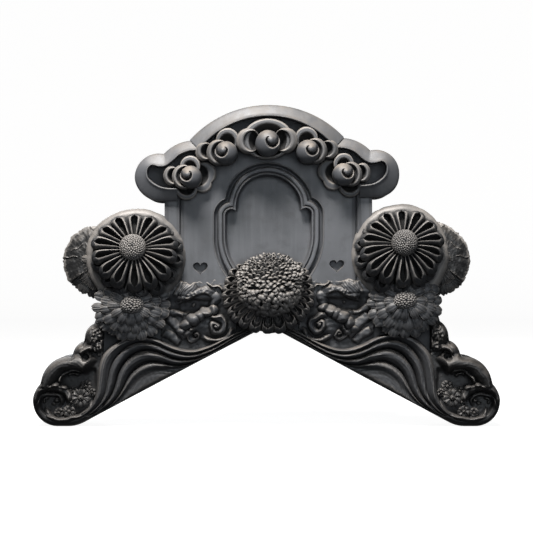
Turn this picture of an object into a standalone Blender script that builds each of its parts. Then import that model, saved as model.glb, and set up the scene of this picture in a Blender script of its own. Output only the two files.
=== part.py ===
"""Ridge end tile with chrysanthemums: one fired clay body that closes the end of a roof ridge.

The tile is modelled as a relief: X runs to the right, Y up from the soles of the two feet, and Z out of the
open back towards the viewer. An empty then stands the relief upright in the world, with the front facing -Y.
Every size below is in millimetres, and MM turns it into Blender's metres.

Run with: blender --background --python part.py
"""

import math

import bmesh
import bpy
from mathutils import Euler, Matrix, Vector

MM = 0.001
SIDES = (-1, 1)

# Forms are made this much too deep, and trimmed flush with the back afterwards.
SPARE = 12

# Levels: how far each face stands in front of the open back.
BACK = 0
LEG_FACE = 90
FIELD_FACE = 105
PILASTER_FACE = 108
RIM_FACE = 125
HOOD_FLOOR = 98
CARTOUCHE_FLOOR = 91
CARTOUCHE_GROOVE = 99
HEART_FLOOR = 98
FOOT_FACE = 106
DRUM_FACE = 113
DRUM_BACK = 45
POCKET_DEPTH = 66

# The saddle: two straight seats that meet over the ridge.
SEAT_PITCH = math.radians(28)
SEAT_APEX = 147.4
SEAT_CHAMFER = 7

# The panel, its hood and the windows cut into them.
PANEL_HALF = 152
PANEL_BOTTOM = 150
PANEL_TOP = 345
FIELD_HALF = 129
HOOD_ARCH = (0, 314.5, 152.5)
HOOD_SHOULDER = (106, 358, 59.5)
HOOD_SCROLL = (157, 365, 34.5)
RIM_WIDTH = 17
CARTOUCHE_ARCH = (0, 319, 64.5)
CARTOUCHE_SHOULDER = (54, 308, 26)
CARTOUCHE_BELLY = (278, 91)
GROOVE_WIDTH = 7
MOULDING_WIDTH = 19
HEART = (99, 233, 22)
HEART_SIDES = 12

# Legs, feet and the lobes on their outer edge.
FOOT = (305, 36, 36)
HEEL_RADIUS = 50
HORN = (288, 61, 41)
LOWER_LOBE = (259, 102, 24)
UPPER_LOBE = (241, 130, 24.5)

# The bar across the hollow back that a tie wire goes round: height, level and radius.
TIE_BAR = (300, 22, 9.5)

# Flowers: centre x, centre y, radius.
GREAT_DRUM = (192, 249, 72.5)
GREAT_FLOWER = (192, 254, 67)
SIDE_FLOWER = (243, 244, 54)
LOWER_FLOWER = (196, 179, 61)
CROWN_FLOWER = (0, 196, 69)
FOOT_FLOWER = (270, 46, 15)

TILE_CLAY = (0.16, 0.165, 0.175, 1.0)


def clear_scene():
    for item in list(bpy.data.objects):
        bpy.data.objects.remove(item)


def new_group(name, is_helper):
    group = bpy.data.collections.new(name)
    bpy.context.scene.collection.children.link(group)
    group.hide_render = is_helper
    return group


def add_form(name, mesh, group):
    """A mesh as an object of a group; the members of a helper group are drawn as wire."""
    form = bpy.data.objects.new(name, mesh)
    group.objects.link(form)
    form.parent = RELIEF
    if group.hide_render:
        form.hide_render = True
        form.display_type = "WIRE"
    return form


def mesh_of_curve(curve, group):
    """The curve's evaluated mesh, with its loose caps welded, in place of the curve."""
    guide = bpy.data.objects.new(curve.name, curve)
    group.objects.link(guide)
    graph = bpy.context.evaluated_depsgraph_get()
    mesh = bpy.data.meshes.new_from_object(guide.evaluated_get(graph))
    bpy.data.objects.remove(guide)
    work = bmesh.new()
    work.from_mesh(mesh)
    bmesh.ops.remove_doubles(work, verts=work.verts, dist=0.00001)
    bmesh.ops.recalc_face_normals(work, faces=work.faces)
    work.to_mesh(mesh)
    work.free()
    return mesh


def plate(name, outline, back, front, group, chamfer=0.0):
    """A flat outline stood from one level to another, with an optional chamfer on both faces."""
    curve = bpy.data.curves.new(name, "CURVE")
    curve.dimensions = "2D"
    curve.fill_mode = "BOTH"
    curve.extrude = (front - back) / 2 * MM - chamfer * MM
    curve.bevel_depth = chamfer * MM
    curve.bevel_resolution = 0
    curve.offset = -chamfer * MM
    spline = curve.splines.new("POLY")
    spline.points.add(len(outline) - 1)
    for point, (x, y) in zip(spline.points, outline):
        point.co = (x * MM, y * MM, 0, 1)
    spline.use_cyclic_u = True
    form = add_form(name, mesh_of_curve(curve, group), group)
    form.location.z = (front + back) / 2 * MM
    return form


def ridge(name, route, widths, base, rise, group):
    """A carved ridge with a sharp crest, lying along route on a face at level base.

    Its half width at each point is in widths, and it stands rise times that high.
    """
    form = bar(name, route, widths, group, resolution=0)
    form.location.z = base * MM
    form.scale.z = rise
    return form


def bar(name, route, radii, group, resolution):
    """A closed bar along route, as thick at each point as radii says."""
    curve = bpy.data.curves.new(name, "CURVE")
    curve.dimensions = "3D"
    curve.bevel_depth = MM
    curve.bevel_resolution = resolution
    curve.use_fill_caps = True
    spline = curve.splines.new("POLY")
    spline.points.add(len(route) - 1)
    for point, (x, y), radius in zip(spline.points, route, radii):
        point.co = (x * MM, y * MM, 0, 1)
        point.radius = radius
    return add_form(name, mesh_of_curve(curve, group), group)


def ball_mesh(name, around, rings):
    """A unit ball, to be scaled into a boss, a knob or a petal."""
    mesh = bpy.data.meshes.new(name)
    work = bmesh.new()
    bmesh.ops.create_uvsphere(work, u_segments=around, v_segments=rings, radius=1)
    work.to_mesh(mesh)
    work.free()
    return mesh


def boss(name, mesh, centre, radii, group, turn=(0, 0, 0), frame=None):
    """A copy of a unit mesh scaled to radii and set at centre, in the relief or in a flower's own frame."""
    form = add_form(name, mesh, group)
    place = Matrix.LocRotScale(Vector(centre) * MM, Euler(turn), Vector(radii) * MM)
    form.matrix_local = frame @ place if frame else place
    return form


def arc(circle, start, end, steps):
    """Points on a circle (centre x, centre y, radius) from one angle to another, in degrees."""
    x, y, radius = circle
    angles = [math.radians(start + (end - start) * i / steps) for i in range(steps + 1)]
    return [(x + radius * math.cos(a), y + radius * math.sin(a)) for a in angles]


def shrunk(circle, inset):
    return (circle[0], circle[1], circle[2] - inset)


def both_halves(right_half):
    """A closed outline from its right half, given from the top or bottom of the middle line round."""
    left = [(-x, y) for x, y in reversed(right_half) if x > 0.01]
    return right_half + left


def flipped(points, side):
    return [(side * x, *rest) for x, *rest in points]


def smooth_route(points, steps):
    """A Catmull-Rom curve through points, with steps stretches between each two."""
    ends = [points[0], *points, points[-1]]
    route = []
    for i in range(len(points) - 1):
        a, b, c, d = (Vector(p) for p in ends[i : i + 4])
        for k in range(steps):
            t = k / steps
            route.append(
                0.5 * (2 * b + (c - a) * t + (2 * a - 5 * b + 4 * c - d) * t**2
                       + (3 * b - a - 3 * c + d) * t**3)
            )
    return [*route, Vector(points[-1])]


def seat_height(x):
    """Height of the seat over the roof at a distance x from the middle."""
    return SEAT_APEX - math.tan(SEAT_PITCH) * abs(x)


def heel_circle():
    """The circle that rounds the heel: it touches the ground and the seat, and its middle is where they say."""
    rise = HEEL_RADIUS / math.cos(SEAT_PITCH) - HEEL_RADIUS
    return ((SEAT_APEX + rise) / math.tan(SEAT_PITCH), HEEL_RADIUS, HEEL_RADIUS)


# ---------------------------------------------------------------- slabs

def hood_outline(inset=0.0):
    """Right half of the hood: a middle arch, a shoulder and a scrolled end."""
    arch = arc(shrunk(HOOD_ARCH, inset), 90, 43.5, 6)
    shoulder = arc(shrunk(HOOD_SHOULDER, inset), 81, 43, 3)
    scroll = arc(shrunk(HOOD_SCROLL, inset), 96, -90, 8)
    return arch + shoulder + scroll


def leg_outline():
    """Right half of the lower slab: saddle, heel, foot, horn and lobes, closed through the flowers."""
    return [
        (0, SEAT_APEX),
        *arc(heel_circle(), -90 - math.degrees(SEAT_PITCH), -90, 3),
        *arc(FOOT, -90, 55, 8),
        *arc(HORN, 8, 97, 6),
        *arc(LOWER_LOBE, 0, 60, 3),
        *arc(UPPER_LOBE, -8, 62, 3),
        (240, 190),
        (150, 260),
        (0, 260),
    ]


def add_slabs(group):
    hood = hood_outline() + [(0, HOOD_SCROLL[1] - HOOD_SCROLL[2])]
    plate("hood_slab", both_halves(hood), BACK - SPARE, RIM_FACE, group, chamfer=6)
    panel = [(0, PANEL_TOP), (PANEL_HALF, PANEL_TOP), (PANEL_HALF, PANEL_BOTTOM), (0, PANEL_BOTTOM)]
    plate("panel_slab", both_halves(panel), BACK - SPARE, PILASTER_FACE, group, chamfer=2)
    for side in SIDES:
        foot = [heel_circle()[:1] + (0,), *arc(FOOT, -90, 200, 14)]
        plate(f"foot_slab_{side}", flipped(foot, side)[::side], BACK - SPARE, FOOT_FACE, group, chamfer=7)
        drum = flipped(arc(GREAT_DRUM, 0, 350, 23), side)[::side]
        plate(f"great_drum_{side}", drum, DRUM_BACK, DRUM_FACE, group, chamfer=4)
        x, y, radius = LOWER_FLOWER
        calyx = flipped(arc((x, y, radius - 10), 0, 340, 13), side)[::side]
        plate(f"lower_flower_back_{side}", calyx, DRUM_BACK + 7, LEG_FACE + 16, group, chamfer=4)


# ---------------------------------------------------------------- windows

def cartouche_outline(inset):
    """The window's lobed outline: an arch, a shoulder on each side that juts out under it, and a belly."""
    arch = arc(shrunk(CARTOUCHE_ARCH, inset), 90, 15, 5)
    shoulder = arc(shrunk(CARTOUCHE_SHOULDER, inset), 68, 0, 2)
    middle, drop = CARTOUCHE_BELLY
    half_width = CARTOUCHE_SHOULDER[0] + CARTOUCHE_SHOULDER[2] - inset
    belly = [(half_width * x, middle + (drop - inset) * y) for x, y in arc((0, 0, 1), 0, -90, 4)]
    return both_halves(arch + shoulder + belly)


def heart_outline(centre_x, centre_y, width):
    """The usual heart curve, 16 sin^3 t across and 13 cos t - 5 cos 2t - 2 cos 3t - cos 4t up."""
    size = width / 32
    points = []
    for i in range(HEART_SIDES):
        t = 2 * math.pi * i / HEART_SIDES
        x = 16 * math.sin(t) ** 3
        y = 13 * math.cos(t) - 5 * math.cos(2 * t) - 2 * math.cos(3 * t) - math.cos(4 * t)
        points.append((centre_x + size * x, centre_y + size * y))
    return points


def add_windows(group):
    """Cutters for the field, the hollow of the hood, the cartouche and the two hearts."""
    arch, shoulder = shrunk(HOOD_ARCH, RIM_WIDTH), shrunk(HOOD_SHOULDER, RIM_WIDTH - 2)
    scroll = (HOOD_SCROLL[0], HOOD_SCROLL[1], 15)
    rim_inside = [*arc(arch, 90, 46.5, 5), *arc(shoulder, 90, 40, 3), *arc(scroll, 70, -65, 4)]
    arm = HOOD_SCROLL[1] - HOOD_SCROLL[2] + 20
    field = rim_inside + [(FIELD_HALF, arm), (FIELD_HALF, 200), (0, 165)]
    plate("field_cutter", both_halves(field), FIELD_FACE, RIM_FACE + 30, group)
    hollow = rim_inside + [(128, 352), (100, 366), (60, 398), (0, 410)]
    plate("hood_hollow_cutter", both_halves(hollow), HOOD_FLOOR, RIM_FACE + 20, group)
    plate("cartouche_cutter", cartouche_outline(MOULDING_WIDTH), CARTOUCHE_FLOOR, RIM_FACE + 25, group)
    ring = add_groove_cutter(group)
    ring.location.z = CARTOUCHE_GROOVE * MM
    for side in SIDES:
        x, y, width = HEART
        plate(f"heart_cutter_{side}", heart_outline(side * x, y, width)[::-1], HEART_FLOOR, RIM_FACE, group)


def add_groove_cutter(group):
    """A ring between two insets of the cartouche's outline."""
    height = RIM_FACE - CARTOUCHE_GROOVE
    mesh = bpy.data.meshes.new("groove_cutter")
    work = bmesh.new()
    rows = []
    for inset, level in ((0, 0), (GROOVE_WIDTH, 0), (GROOVE_WIDTH, height), (0, height)):
        rows.append([work.verts.new((x * MM, y * MM, level * MM)) for x, y in cartouche_outline(inset)])
    for row, following in zip(rows, rows[1:] + rows[:1]):
        for i in range(len(row)):
            j = (i + 1) % len(row)
            work.faces.new((row[i], row[j], following[j], following[i]))
    bmesh.ops.recalc_face_normals(work, faces=work.faces)
    work.to_mesh(mesh)
    work.free()
    return add_form("groove_cutter", mesh, group)


# ---------------------------------------------------------------- carving on the slabs

def crescent(name, circle, start, end, width, rise, group, steps=5):
    """A roll of cloud: a ridge bent along an arc, wide in the middle and narrow at its ends."""
    route = arc(shrunk(circle, width), start, end, steps)
    widths = [width * (0.5 + 0.5 * math.sin(math.pi * i / steps)) for i in range(steps + 1)]
    return ridge(name, route, widths, HOOD_FLOOR - 2, rise / width, group)


def add_clouds(group, ball):
    """Five curled clouds under the hood: one in the middle and two on each side."""
    level = HOOD_FLOOR + 14
    boss("middle_cloud_ball", ball, (0, 410.5, level), (18.5, 19.5, 36), group)
    crescent("middle_cloud_crown", (0, 420, 29), 20, 160, 6, 36, group, 6)
    for side in SIDES:
        start = 90 - side * 50
        crescent(f"middle_cloud_roll_{side}", (side * 27, 411, 17), start, start - side * 190, 7, 32, group)
        boss(f"inner_cloud_ball_{side}", ball, (side * 59.6, 396.7, level), (18, 18.5, 34), group)
        crescent(f"inner_cloud_crown_{side}", (side * 55, 414, 20), 5, 175, 5, 34, group)
        boss(f"outer_cloud_ball_{side}", ball, (side * 113, 360.3, level), (18, 18, 34), group)
        crescent(f"outer_cloud_crown_{side}", (side * 109, 378, 18), 0, 180, 5, 34, group)
        rolls = (
            ("inner_cloud_roll", 75, 401, 15, 29),
            ("inner_cloud_tail", 89, 400, 14, 24),
            ("outer_cloud_roll", 124, 366, 15, 29),
            ("outer_cloud_tail", 138, 366, 14, 24),
        )
        for name, x, y, radius, rise in rolls:
            start = 90 + side * 20
            crescent(f"{name}_{side}", (side * x, y, radius), start, start - side * 190, 6, rise, group)
        wing = (side * 90, 364, 19)
        crescent(f"outer_cloud_wing_{side}", wing, 90 - side * 5, 90 + side * 185, 8, 24, group)
        crescent(f"outer_cloud_chin_{side}", (side * 114.5, 349, 18), 180, 360, 7, 24, group)


def add_streams(group):
    """Water running down each leg: ridges blended between an outer and an inner guide line."""
    outer = ((34, 139), (104, 112.5), (170, 127), (205, 116), (232, 80), (250, 36), (300, 13))
    inner = ((92, 90), (126, 82), (164, 89), (184, 83), (204, 55), (220, 35), (236, 20))
    ridges = 4
    for side in SIDES:
        for k in range(ridges):
            share = k / (ridges - 1)
            guide = [Vector(a).lerp(Vector(b), share) for a, b in zip(outer, inner)]
            route = [(side * p.x, p.y) for p in smooth_route(guide, 2)]
            last = len(route) - 1
            swell = [math.sin(math.pi * (0.15 + 0.7 * i / last)) for i in range(last + 1)]
            widths = [(12.5 - 4.5 * share) * (0.35 + 0.65 * s) for s in swell]
            ridge(f"stream_{k}_{side}", route, widths, LEG_FACE - 1, 1.7, group)


def spiral(circle, start, turns, inner_share, steps):
    """Points on a spiral that starts on a circle and closes in to inner_share of its radius."""
    x, y, radius = circle
    points = []
    for i in range(steps + 1):
        share = i / steps
        reach = radius * (1 - (1 - inner_share) * share)
        angle = math.radians(start) + 2 * math.pi * turns * share
        points.append((x + reach * math.cos(angle), y + reach * math.sin(angle)))
    return points


def add_feet(group, ball):
    """Each foot: a volute, the horn that curls over it, and two lobes up the outer edge."""
    for side in SIDES:
        curl = flipped(spiral(shrunk(FOOT, 11), 150, -1.25, 0.15, 11), side)
        ridge(f"foot_volute_{side}", curl, [9 - 0.4 * i for i in range(12)], FOOT_FACE - 1, 1.5, group)
        bend = flipped(arc(shrunk(HORN, 14), -5, 205, 9), side)
        widths = [6 + 7 * math.sin(math.pi * (0.1 + 0.8 * i / 9)) for i in range(10)]
        ridge(f"horn_{side}", bend, widths, LEG_FACE - 1, 1.9, group)
        for name, (x, y, radius) in (("lower_lobe", LOWER_LOBE), ("upper_lobe", UPPER_LOBE)):
            boss(f"{name}_{side}", ball, (side * (x - 3), y, LEG_FACE - 2), (radius - 5, radius - 3, 18), group)


def add_foliage(group, ball):
    """Scrolled leaves that fill the corner between the panel, the streams and the flowers."""
    scrolls = ((79, 147, 17), (107, 132, 13))
    for side in SIDES:
        for k, (x, y, radius) in enumerate(scrolls):
            curl = spiral((side * x, y, radius), 90, side * 1.1, 0.2, 7)
            ridge(f"leaf_scroll_{k}_{side}", curl, [8 - 0.7 * i for i in range(8)], LEG_FACE - 2, 3.2, group)
        lobes = ((95, 165, 17, 10), (118, 152, 18, 11), (73, 167, 12, 9), (110, 191, 28, 8))
        for k, (x, y, wide, tall) in enumerate(lobes):
            boss(f"leaf_lobe_{k}_{side}", ball, (side * x, y, LEG_FACE + 4), (wide, tall, 24), group,
                 turn=(0, 0, side * math.radians(20)))


# ---------------------------------------------------------------- flowers

def flower_frame(centre, level, tilt, flatten=1.0):
    """A flower's own frame: its face looks out of the wall and is tipped up by tilt degrees."""
    place = Matrix.Translation(Vector((*centre, level)) * MM)
    return place @ Matrix.Rotation(-math.radians(tilt), 4, "X") @ Matrix.Diagonal((1, flatten, 1, 1))


def flower_mesh(name, petals, rings, is_hollow=False):
    """A flower head as one closed shell, from its middle out and round to its underside.

    Each ring is a radius at the petals' middles, how far short of it their edges stop, and the heights of
    the middles and of the edges. Plain petals share an edge, and hollow ones have a lip on either side.
    """
    mesh = bpy.data.meshes.new(name)
    work = bmesh.new()
    rows = []
    for radius, notch, middle, edge in rings:
        samples = [(0, radius, middle), (0.5, radius - notch, edge)]
        if is_hollow:
            samples = [(0, radius, middle), (0.34, radius - notch, edge), (0.66, radius - notch, edge)]
        row = []
        for k in range(petals):
            for share, reach, height in samples:
                angle = 2 * math.pi * (k + share) / petals
                row.append(work.verts.new(Vector((reach * math.cos(angle), reach * math.sin(angle), height)) * MM))
        rows.append(row)
    for row, outer in zip(rows, rows[1:]):
        for i in range(len(row)):
            j = (i + 1) % len(row)
            work.faces.new((row[i], outer[i], outer[j], row[j]))
    work.faces.new(rows[0])
    work.faces.new(rows[-1][::-1])
    bmesh.ops.recalc_face_normals(work, faces=work.faces)
    work.to_mesh(mesh)
    work.free()
    return mesh


def set_flower(name, mesh, frame, group):
    form = add_form(name, mesh, group)
    form.matrix_local = frame
    return form


def add_great_flowers(group, ball):
    """Two open chrysanthemums of sixteen spoon petals, each hollowed from its eye almost to its tip."""
    x, y, radius = GREAT_FLOWER
    mesh = flower_mesh("great_flower", 16, (
        (17, 0, 14, 17),
        (25, 0, 4, 19),
        (radius - 11, 0, 5, 12),
        (radius - 5, 2, 13, 9),
        (radius, 5, 2, -3),
        (radius - 16, 0, -42, -42),
    ), is_hollow=True)
    for side in SIDES:
        frame = flower_frame((side * x, y), DRUM_FACE + 15, 20, flatten=0.92)
        set_flower(f"great_flower_{side}", mesh, frame, group)
        boss(f"great_eye_{side}", ball, (side * 3, 4, 18), (19, 20, 15), group, frame=frame)


def layered_mesh(name, petals, radius, thickness):
    """A flower of two rings of plain petals, the outer ring showing in the gaps of the inner one."""
    return flower_mesh(name, petals, (
        (radius * 0.42, 0, 16, 13),
        (radius * 0.66, 6, 12, 7),
        (radius * 0.70, 4, 5, 8),
        (radius * 0.94, -3, 2, 9),
        (radius - 4, -4, -7, -3),
        (radius * 0.8, 0, -thickness, -thickness),
    ))


def add_small_flowers(group, ball):
    """The layered flowers under and beside each great one, and the little one in each foot."""
    lower = layered_mesh("lower_flower", 14, LOWER_FLOWER[2], 26)
    outer = layered_mesh("side_flower", 12, SIDE_FLOWER[2], 44)
    reach = FOOT_FLOWER[2]
    small = flower_mesh("foot_flower", 7, ((4, 0, 9, 9), (reach, 5, 5, 2), (reach - 3, 0, -12, -12)))
    for side in SIDES:
        frame = flower_frame((side * LOWER_FLOWER[0], LOWER_FLOWER[1]), LEG_FACE + 28, 8)
        set_flower(f"lower_flower_{side}", lower, frame, group)
        boss(f"lower_eye_{side}", ball, (0, 0, 14), (17, 13, 12), group, frame=frame)
        frame = flower_frame((side * SIDE_FLOWER[0], SIDE_FLOWER[1]), DRUM_FACE - 20, 0)
        set_flower(f"side_flower_{side}", outer, frame, group)
        frame = flower_frame((side * FOOT_FLOWER[0], FOOT_FLOWER[1]), LEG_FACE + 8, 0)
        set_flower(f"foot_flower_{side}", small, frame, group)


def floret_dome():
    """A unit dome of curled florets: a ball of triangles whose edges are pressed in at their middles."""
    mesh = bpy.data.meshes.new("floret_dome")
    work = bmesh.new()
    bmesh.ops.create_icosphere(work, subdivisions=3, radius=1)
    bmesh.ops.subdivide_edges(work, edges=work.edges, cuts=1, use_grid_fill=True)
    for vertex in work.verts:
        is_edge_middle = vertex.co.length < 0.999
        vertex.co = vertex.co.normalized() * (0.89 if is_edge_middle else 1.0)
    work.to_mesh(mesh)
    work.free()
    return mesh


def add_crown_flower(group):
    """The full chrysanthemum at the foot of the panel: a dome of florets in a ring of spoon petals."""
    x, y, radius = CROWN_FLOWER
    frame = flower_frame((x, y), FIELD_FACE + 16, 24)
    spoons = flower_mesh("crown_spoons", 22, (
        (radius - 32, 0, 0, 6),
        (radius - 12, 0, -3, 5),
        (radius - 3, 3, 1, -1),
        (radius, 6, -7, -13),
        (radius - 14, 0, -40, -40),
    ))
    set_flower("crown_spoons", spoons, frame, group)
    boss("crown_dome", floret_dome(), (0, 10, 6), (49, 47, 50), group, frame=frame)


# ---------------------------------------------------------------- back and underside

def add_body_cutters(group):
    """Cutters that make the back and the two seats flat, and chamfer the front edge of the seats."""
    reach = 400
    wall = [(-reach, -50), (reach, -50), (reach, 520), (-reach, 520)]
    plate("back_cutter", wall, BACK - 3 * SPARE, BACK, group)
    heel_x, _, heel_radius = heel_circle()
    seat_end = heel_x - heel_radius * math.sin(SEAT_PITCH)
    saddle = [(0, SEAT_APEX), (seat_end, seat_height(seat_end)), (seat_end, -30), (0, -30)]
    plate("saddle_cutter", both_halves(saddle), BACK - 2 * SPARE, reach / 2, group)
    for side in SIDES:
        add_seat_chamfer(side, group)


def add_seat_chamfer(side, group):
    """A square bar turned by 45 degrees, which planes off the front edge of one seat."""
    length, thickness = 330, 40
    cube = bpy.data.meshes.new("unit_cube")
    work = bmesh.new()
    bmesh.ops.create_cube(work, size=1)
    work.to_mesh(cube)
    work.free()
    form = add_form(f"seat_chamfer_{side}", cube, group)
    edge = Matrix.Translation(Vector((0, SEAT_APEX, LEG_FACE)) * MM) @ Matrix.Rotation(-side * SEAT_PITCH, 4, "Z")
    off_edge = thickness / 2 - SEAT_CHAMFER / math.sqrt(2)
    turned = Matrix.Rotation(math.radians(45), 4, "X") @ Matrix.Translation(Vector((0, 0, off_edge)) * MM)
    middle = Matrix.Translation(Vector((side * length / 2, 0, 0)) * MM)
    size = Matrix.Diagonal((length * MM, thickness * MM, thickness * MM, 1))
    form.matrix_local = edge @ middle @ turned @ size


def add_pockets(group):
    """The hollow back: one pocket behind the panel and one in each leg, with ribs between them."""
    lift = 25
    middle = [(0, seat_height(0) + lift), (127, seat_height(127) + lift), (127, 325), (113, 345)]
    top = arc((0, 314.5, 126), 30, 90, 6)
    plate("panel_pocket_cutter", both_halves((middle + top)[::-1]), -20, POCKET_DEPTH, group)
    for side in SIDES:
        leg = [(152, seat_height(152) + lift), (262, seat_height(262) + lift), (262, 62), (238, 102),
               (206, 146), (152, 146)]
        plate(f"leg_pocket_cutter_{side}", flipped(leg, side)[::side], -20, POCKET_DEPTH, group)


def union(target, group, label):
    join = target.modifiers.new(label, "BOOLEAN")
    join.operation = "UNION"
    join.operand_type = "COLLECTION"
    join.collection = group
    join.solver = "MANIFOLD"


def cut(target, group, label):
    union(target, group, label)
    target.modifiers[label].operation = "DIFFERENCE"


def clay():
    material = bpy.data.materials.new("smoked_clay")
    material.use_nodes = True
    shader = material.node_tree.nodes["Principled BSDF"]
    shader.inputs["Base Color"].default_value = TILE_CLAY
    shader.inputs["Roughness"].default_value = 0.45
    shader.inputs["Metallic"].default_value = 0.15
    return material


def build_tile():
    tile_group = new_group("ridge_end_tile", is_helper=False)
    slabs = new_group("slab_forms", is_helper=True)
    windows = new_group("window_cutters", is_helper=True)
    carving = new_group("carved_forms", is_helper=True)
    shaping = new_group("body_cutters", is_helper=True)
    flowers = new_group("flower_forms", is_helper=True)
    pockets = new_group("pocket_cutters", is_helper=True)
    tie = new_group("tie_bar_forms", is_helper=True)

    ball = ball_mesh("ball", 8, 6)
    tile = plate("roof_end_tile", both_halves(leg_outline()), BACK - SPARE, LEG_FACE, tile_group, chamfer=7)
    add_slabs(slabs)
    add_windows(windows)
    add_clouds(carving, ball)
    add_streams(carving)
    add_feet(carving, ball)
    add_foliage(carving, ball)
    add_body_cutters(shaping)
    add_great_flowers(flowers, ball)
    add_small_flowers(flowers, ball)
    add_crown_flower(flowers)
    add_pockets(pockets)
    tie_bar = bar("tie_bar", [(-134, TIE_BAR[0]), (134, TIE_BAR[0])], [TIE_BAR[2]] * 2, tie, resolution=3)
    tie_bar.location.z = TIE_BAR[1] * MM

    union(tile, slabs, "slabs")
    cut(tile, windows, "windows")
    union(tile, carving, "carving")
    cut(tile, shaping, "shaping")
    union(tile, flowers, "flowers")
    cut(tile, pockets, "pockets")
    union(tile, tie, "tie_bar")
    tile.data.materials.append(clay())
    return tile


def stand_upright(tile):
    """Turns the relief's Z to the world's -Y and centres the tile's depth on the world's origin."""
    RELIEF.rotation_euler.x = math.radians(90)
    bpy.context.view_layer.update()
    graph = bpy.context.evaluated_depsgraph_get()
    mesh = tile.evaluated_get(graph).to_mesh()
    depths = [vertex.co.z + tile.location.z for vertex in mesh.vertices]
    RELIEF.location.y = (min(depths) + max(depths)) / 2


clear_scene()
RELIEF = bpy.data.objects.new("relief", None)
bpy.context.scene.collection.objects.link(RELIEF)
stand_upright(build_tile())
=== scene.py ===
"""Looks of the ridge end tile: the carved and smoked clay body, its flowers, clouds, water and scrolls.

Every form is worked out in the tile's own relief, in millimetres: x to the right, y up from the soles, z out
of the open back towards the viewer. `stand` turns that relief upright into the frame's metres.
"""

import functools
import math

import bmesh
import bpy
import numpy as np
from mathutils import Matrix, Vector
from mathutils.geometry import delaunay_2d_cdt


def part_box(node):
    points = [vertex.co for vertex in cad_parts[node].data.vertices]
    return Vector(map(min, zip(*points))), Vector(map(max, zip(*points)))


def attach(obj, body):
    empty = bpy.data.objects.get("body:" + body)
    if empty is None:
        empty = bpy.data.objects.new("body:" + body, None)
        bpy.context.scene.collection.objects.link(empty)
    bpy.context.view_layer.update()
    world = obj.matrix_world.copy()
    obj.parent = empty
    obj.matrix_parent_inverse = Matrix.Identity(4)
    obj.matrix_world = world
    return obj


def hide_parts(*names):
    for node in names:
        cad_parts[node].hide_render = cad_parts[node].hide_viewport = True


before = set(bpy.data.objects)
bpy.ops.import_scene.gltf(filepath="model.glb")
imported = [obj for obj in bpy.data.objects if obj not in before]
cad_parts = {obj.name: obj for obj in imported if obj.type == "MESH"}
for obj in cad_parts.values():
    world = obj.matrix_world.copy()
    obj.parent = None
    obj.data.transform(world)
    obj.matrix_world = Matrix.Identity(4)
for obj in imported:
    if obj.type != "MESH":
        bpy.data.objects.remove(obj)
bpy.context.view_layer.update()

MM = 0.001
BODY = "root"
NODE = "roof_end_tile"
BACK_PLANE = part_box(NODE)[1].y / MM
TAU = 2 * math.pi

# Levels in front of the open back. Carved sheets start from SHEET_EDGE at their edges and go back to SHEET_BACK.
POCKET = 66
JOINT = 70
SHEET_BACK = 78
SHEET_EDGE = 84
LEG_FACE = 90
FLOOR = 98
FIELD = 105
PILASTER = 108

# Circles of the driving shapes: centre x, centre y, radius.
HOOD = ((0, 314.5, 152.4), (106, 358, 59.5), (157, 365, 34.5))
ARCH_HOLLOW = (0, 324, 126)
CARTOUCHE = ((0, 319, 64.5), (54, 308, 26))
FOOT = (305, 36, 35.995)
HORN = (288, 61, 41)
LOBES = ((259, 102, 24), (241, 130, 24.5))
DRUM = (192, 248.5, 72.5)

# Steps along the hood's arcs, the corner under its scroll, and the window's belly: height of its middle, half height.
HOOD_STEPS = (46, 22, 60)
HOOD_FOOT = (152, 331.5)
BELLY = (278, 91)

# The two seats over the ridge, the heel's radius and the wall kept round the hollows of the back.
SEAT_ANGLE = math.radians(28)
SEAT_APEX, SEAT_SLOPE, HEEL, WALL = 147.4, math.tan(SEAT_ANGLE), 50, 25

# The tile's unevenness: its rise for each millimetre to the right, and how far its panel sits to the right.
LEAN, PANEL_SHIFT = 0.017, 3.0

GREAT_PETALS = 14
# Centres of the flowers, on the right where there are two.
GREAT, LOWER, SIDE, CROWN = (192.6, 257.6), (196.5, 179.5), (241.5, 241.5), (0, 196)


# ---------------------------------------------------------------- numbers and curves

def smooth(t):
    """3t^2 - 2t^3 between 0 and 1."""
    t = np.clip(t, 0, 1)
    return t * t * (3 - 2 * t)


def window(t, low, rise, high, fall):
    """1 between low and high and 0 outside, eased in over rise and out over fall."""
    return smooth((t - low) / rise) * smooth((high - t) / fall)


def rows(*columns):
    """Stacks columns of numbers or arrays into points."""
    return np.stack(np.broadcast_arrays(*[np.asarray(c, float) for c in columns]), -1)


def arc(circle, start, end, steps):
    """Points on a circle (centre x, centre y, radius) from one angle to another, in degrees."""
    angle = np.radians(np.linspace(start, end, steps))
    return rows(circle[0] + circle[2] * np.cos(angle), circle[1] + circle[2] * np.sin(angle))


def curve(points, steps):
    """A Catmull-Rom curve through points, then spaced evenly along its length."""
    p = np.asarray(points, float)
    p = np.concatenate([2 * p[:1] - p[1:2], p, 2 * p[-1:] - p[-2:-1]])
    t = np.linspace(0, 1, 24, endpoint=False)[None, :, None]
    a, b, c, d = (p[i : len(p) - 3 + i, None] for i in range(4))
    dense = 0.5 * (2 * b + (c - a) * t + (2 * a - 5 * b + 4 * c - d) * t**2 + (3 * b - a - 3 * c + d) * t**3)
    dense = np.concatenate([dense.reshape(-1, p.shape[1]), p[-2:-1]])
    run = np.concatenate([[0], np.cumsum(np.linalg.norm(np.diff(dense, axis=0), axis=1))])
    even = np.linspace(0, run[-1], steps)
    return np.stack([np.interp(even, run, dense[:, k]) for k in range(p.shape[1])], -1)


def both_halves(right):
    """A closed outline from its right half, given from the middle line round and back to it."""
    left = right[::-1][np.abs(right[::-1, 0]) > 0.01] * (-1, 1)
    return np.concatenate([right, left])


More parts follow.
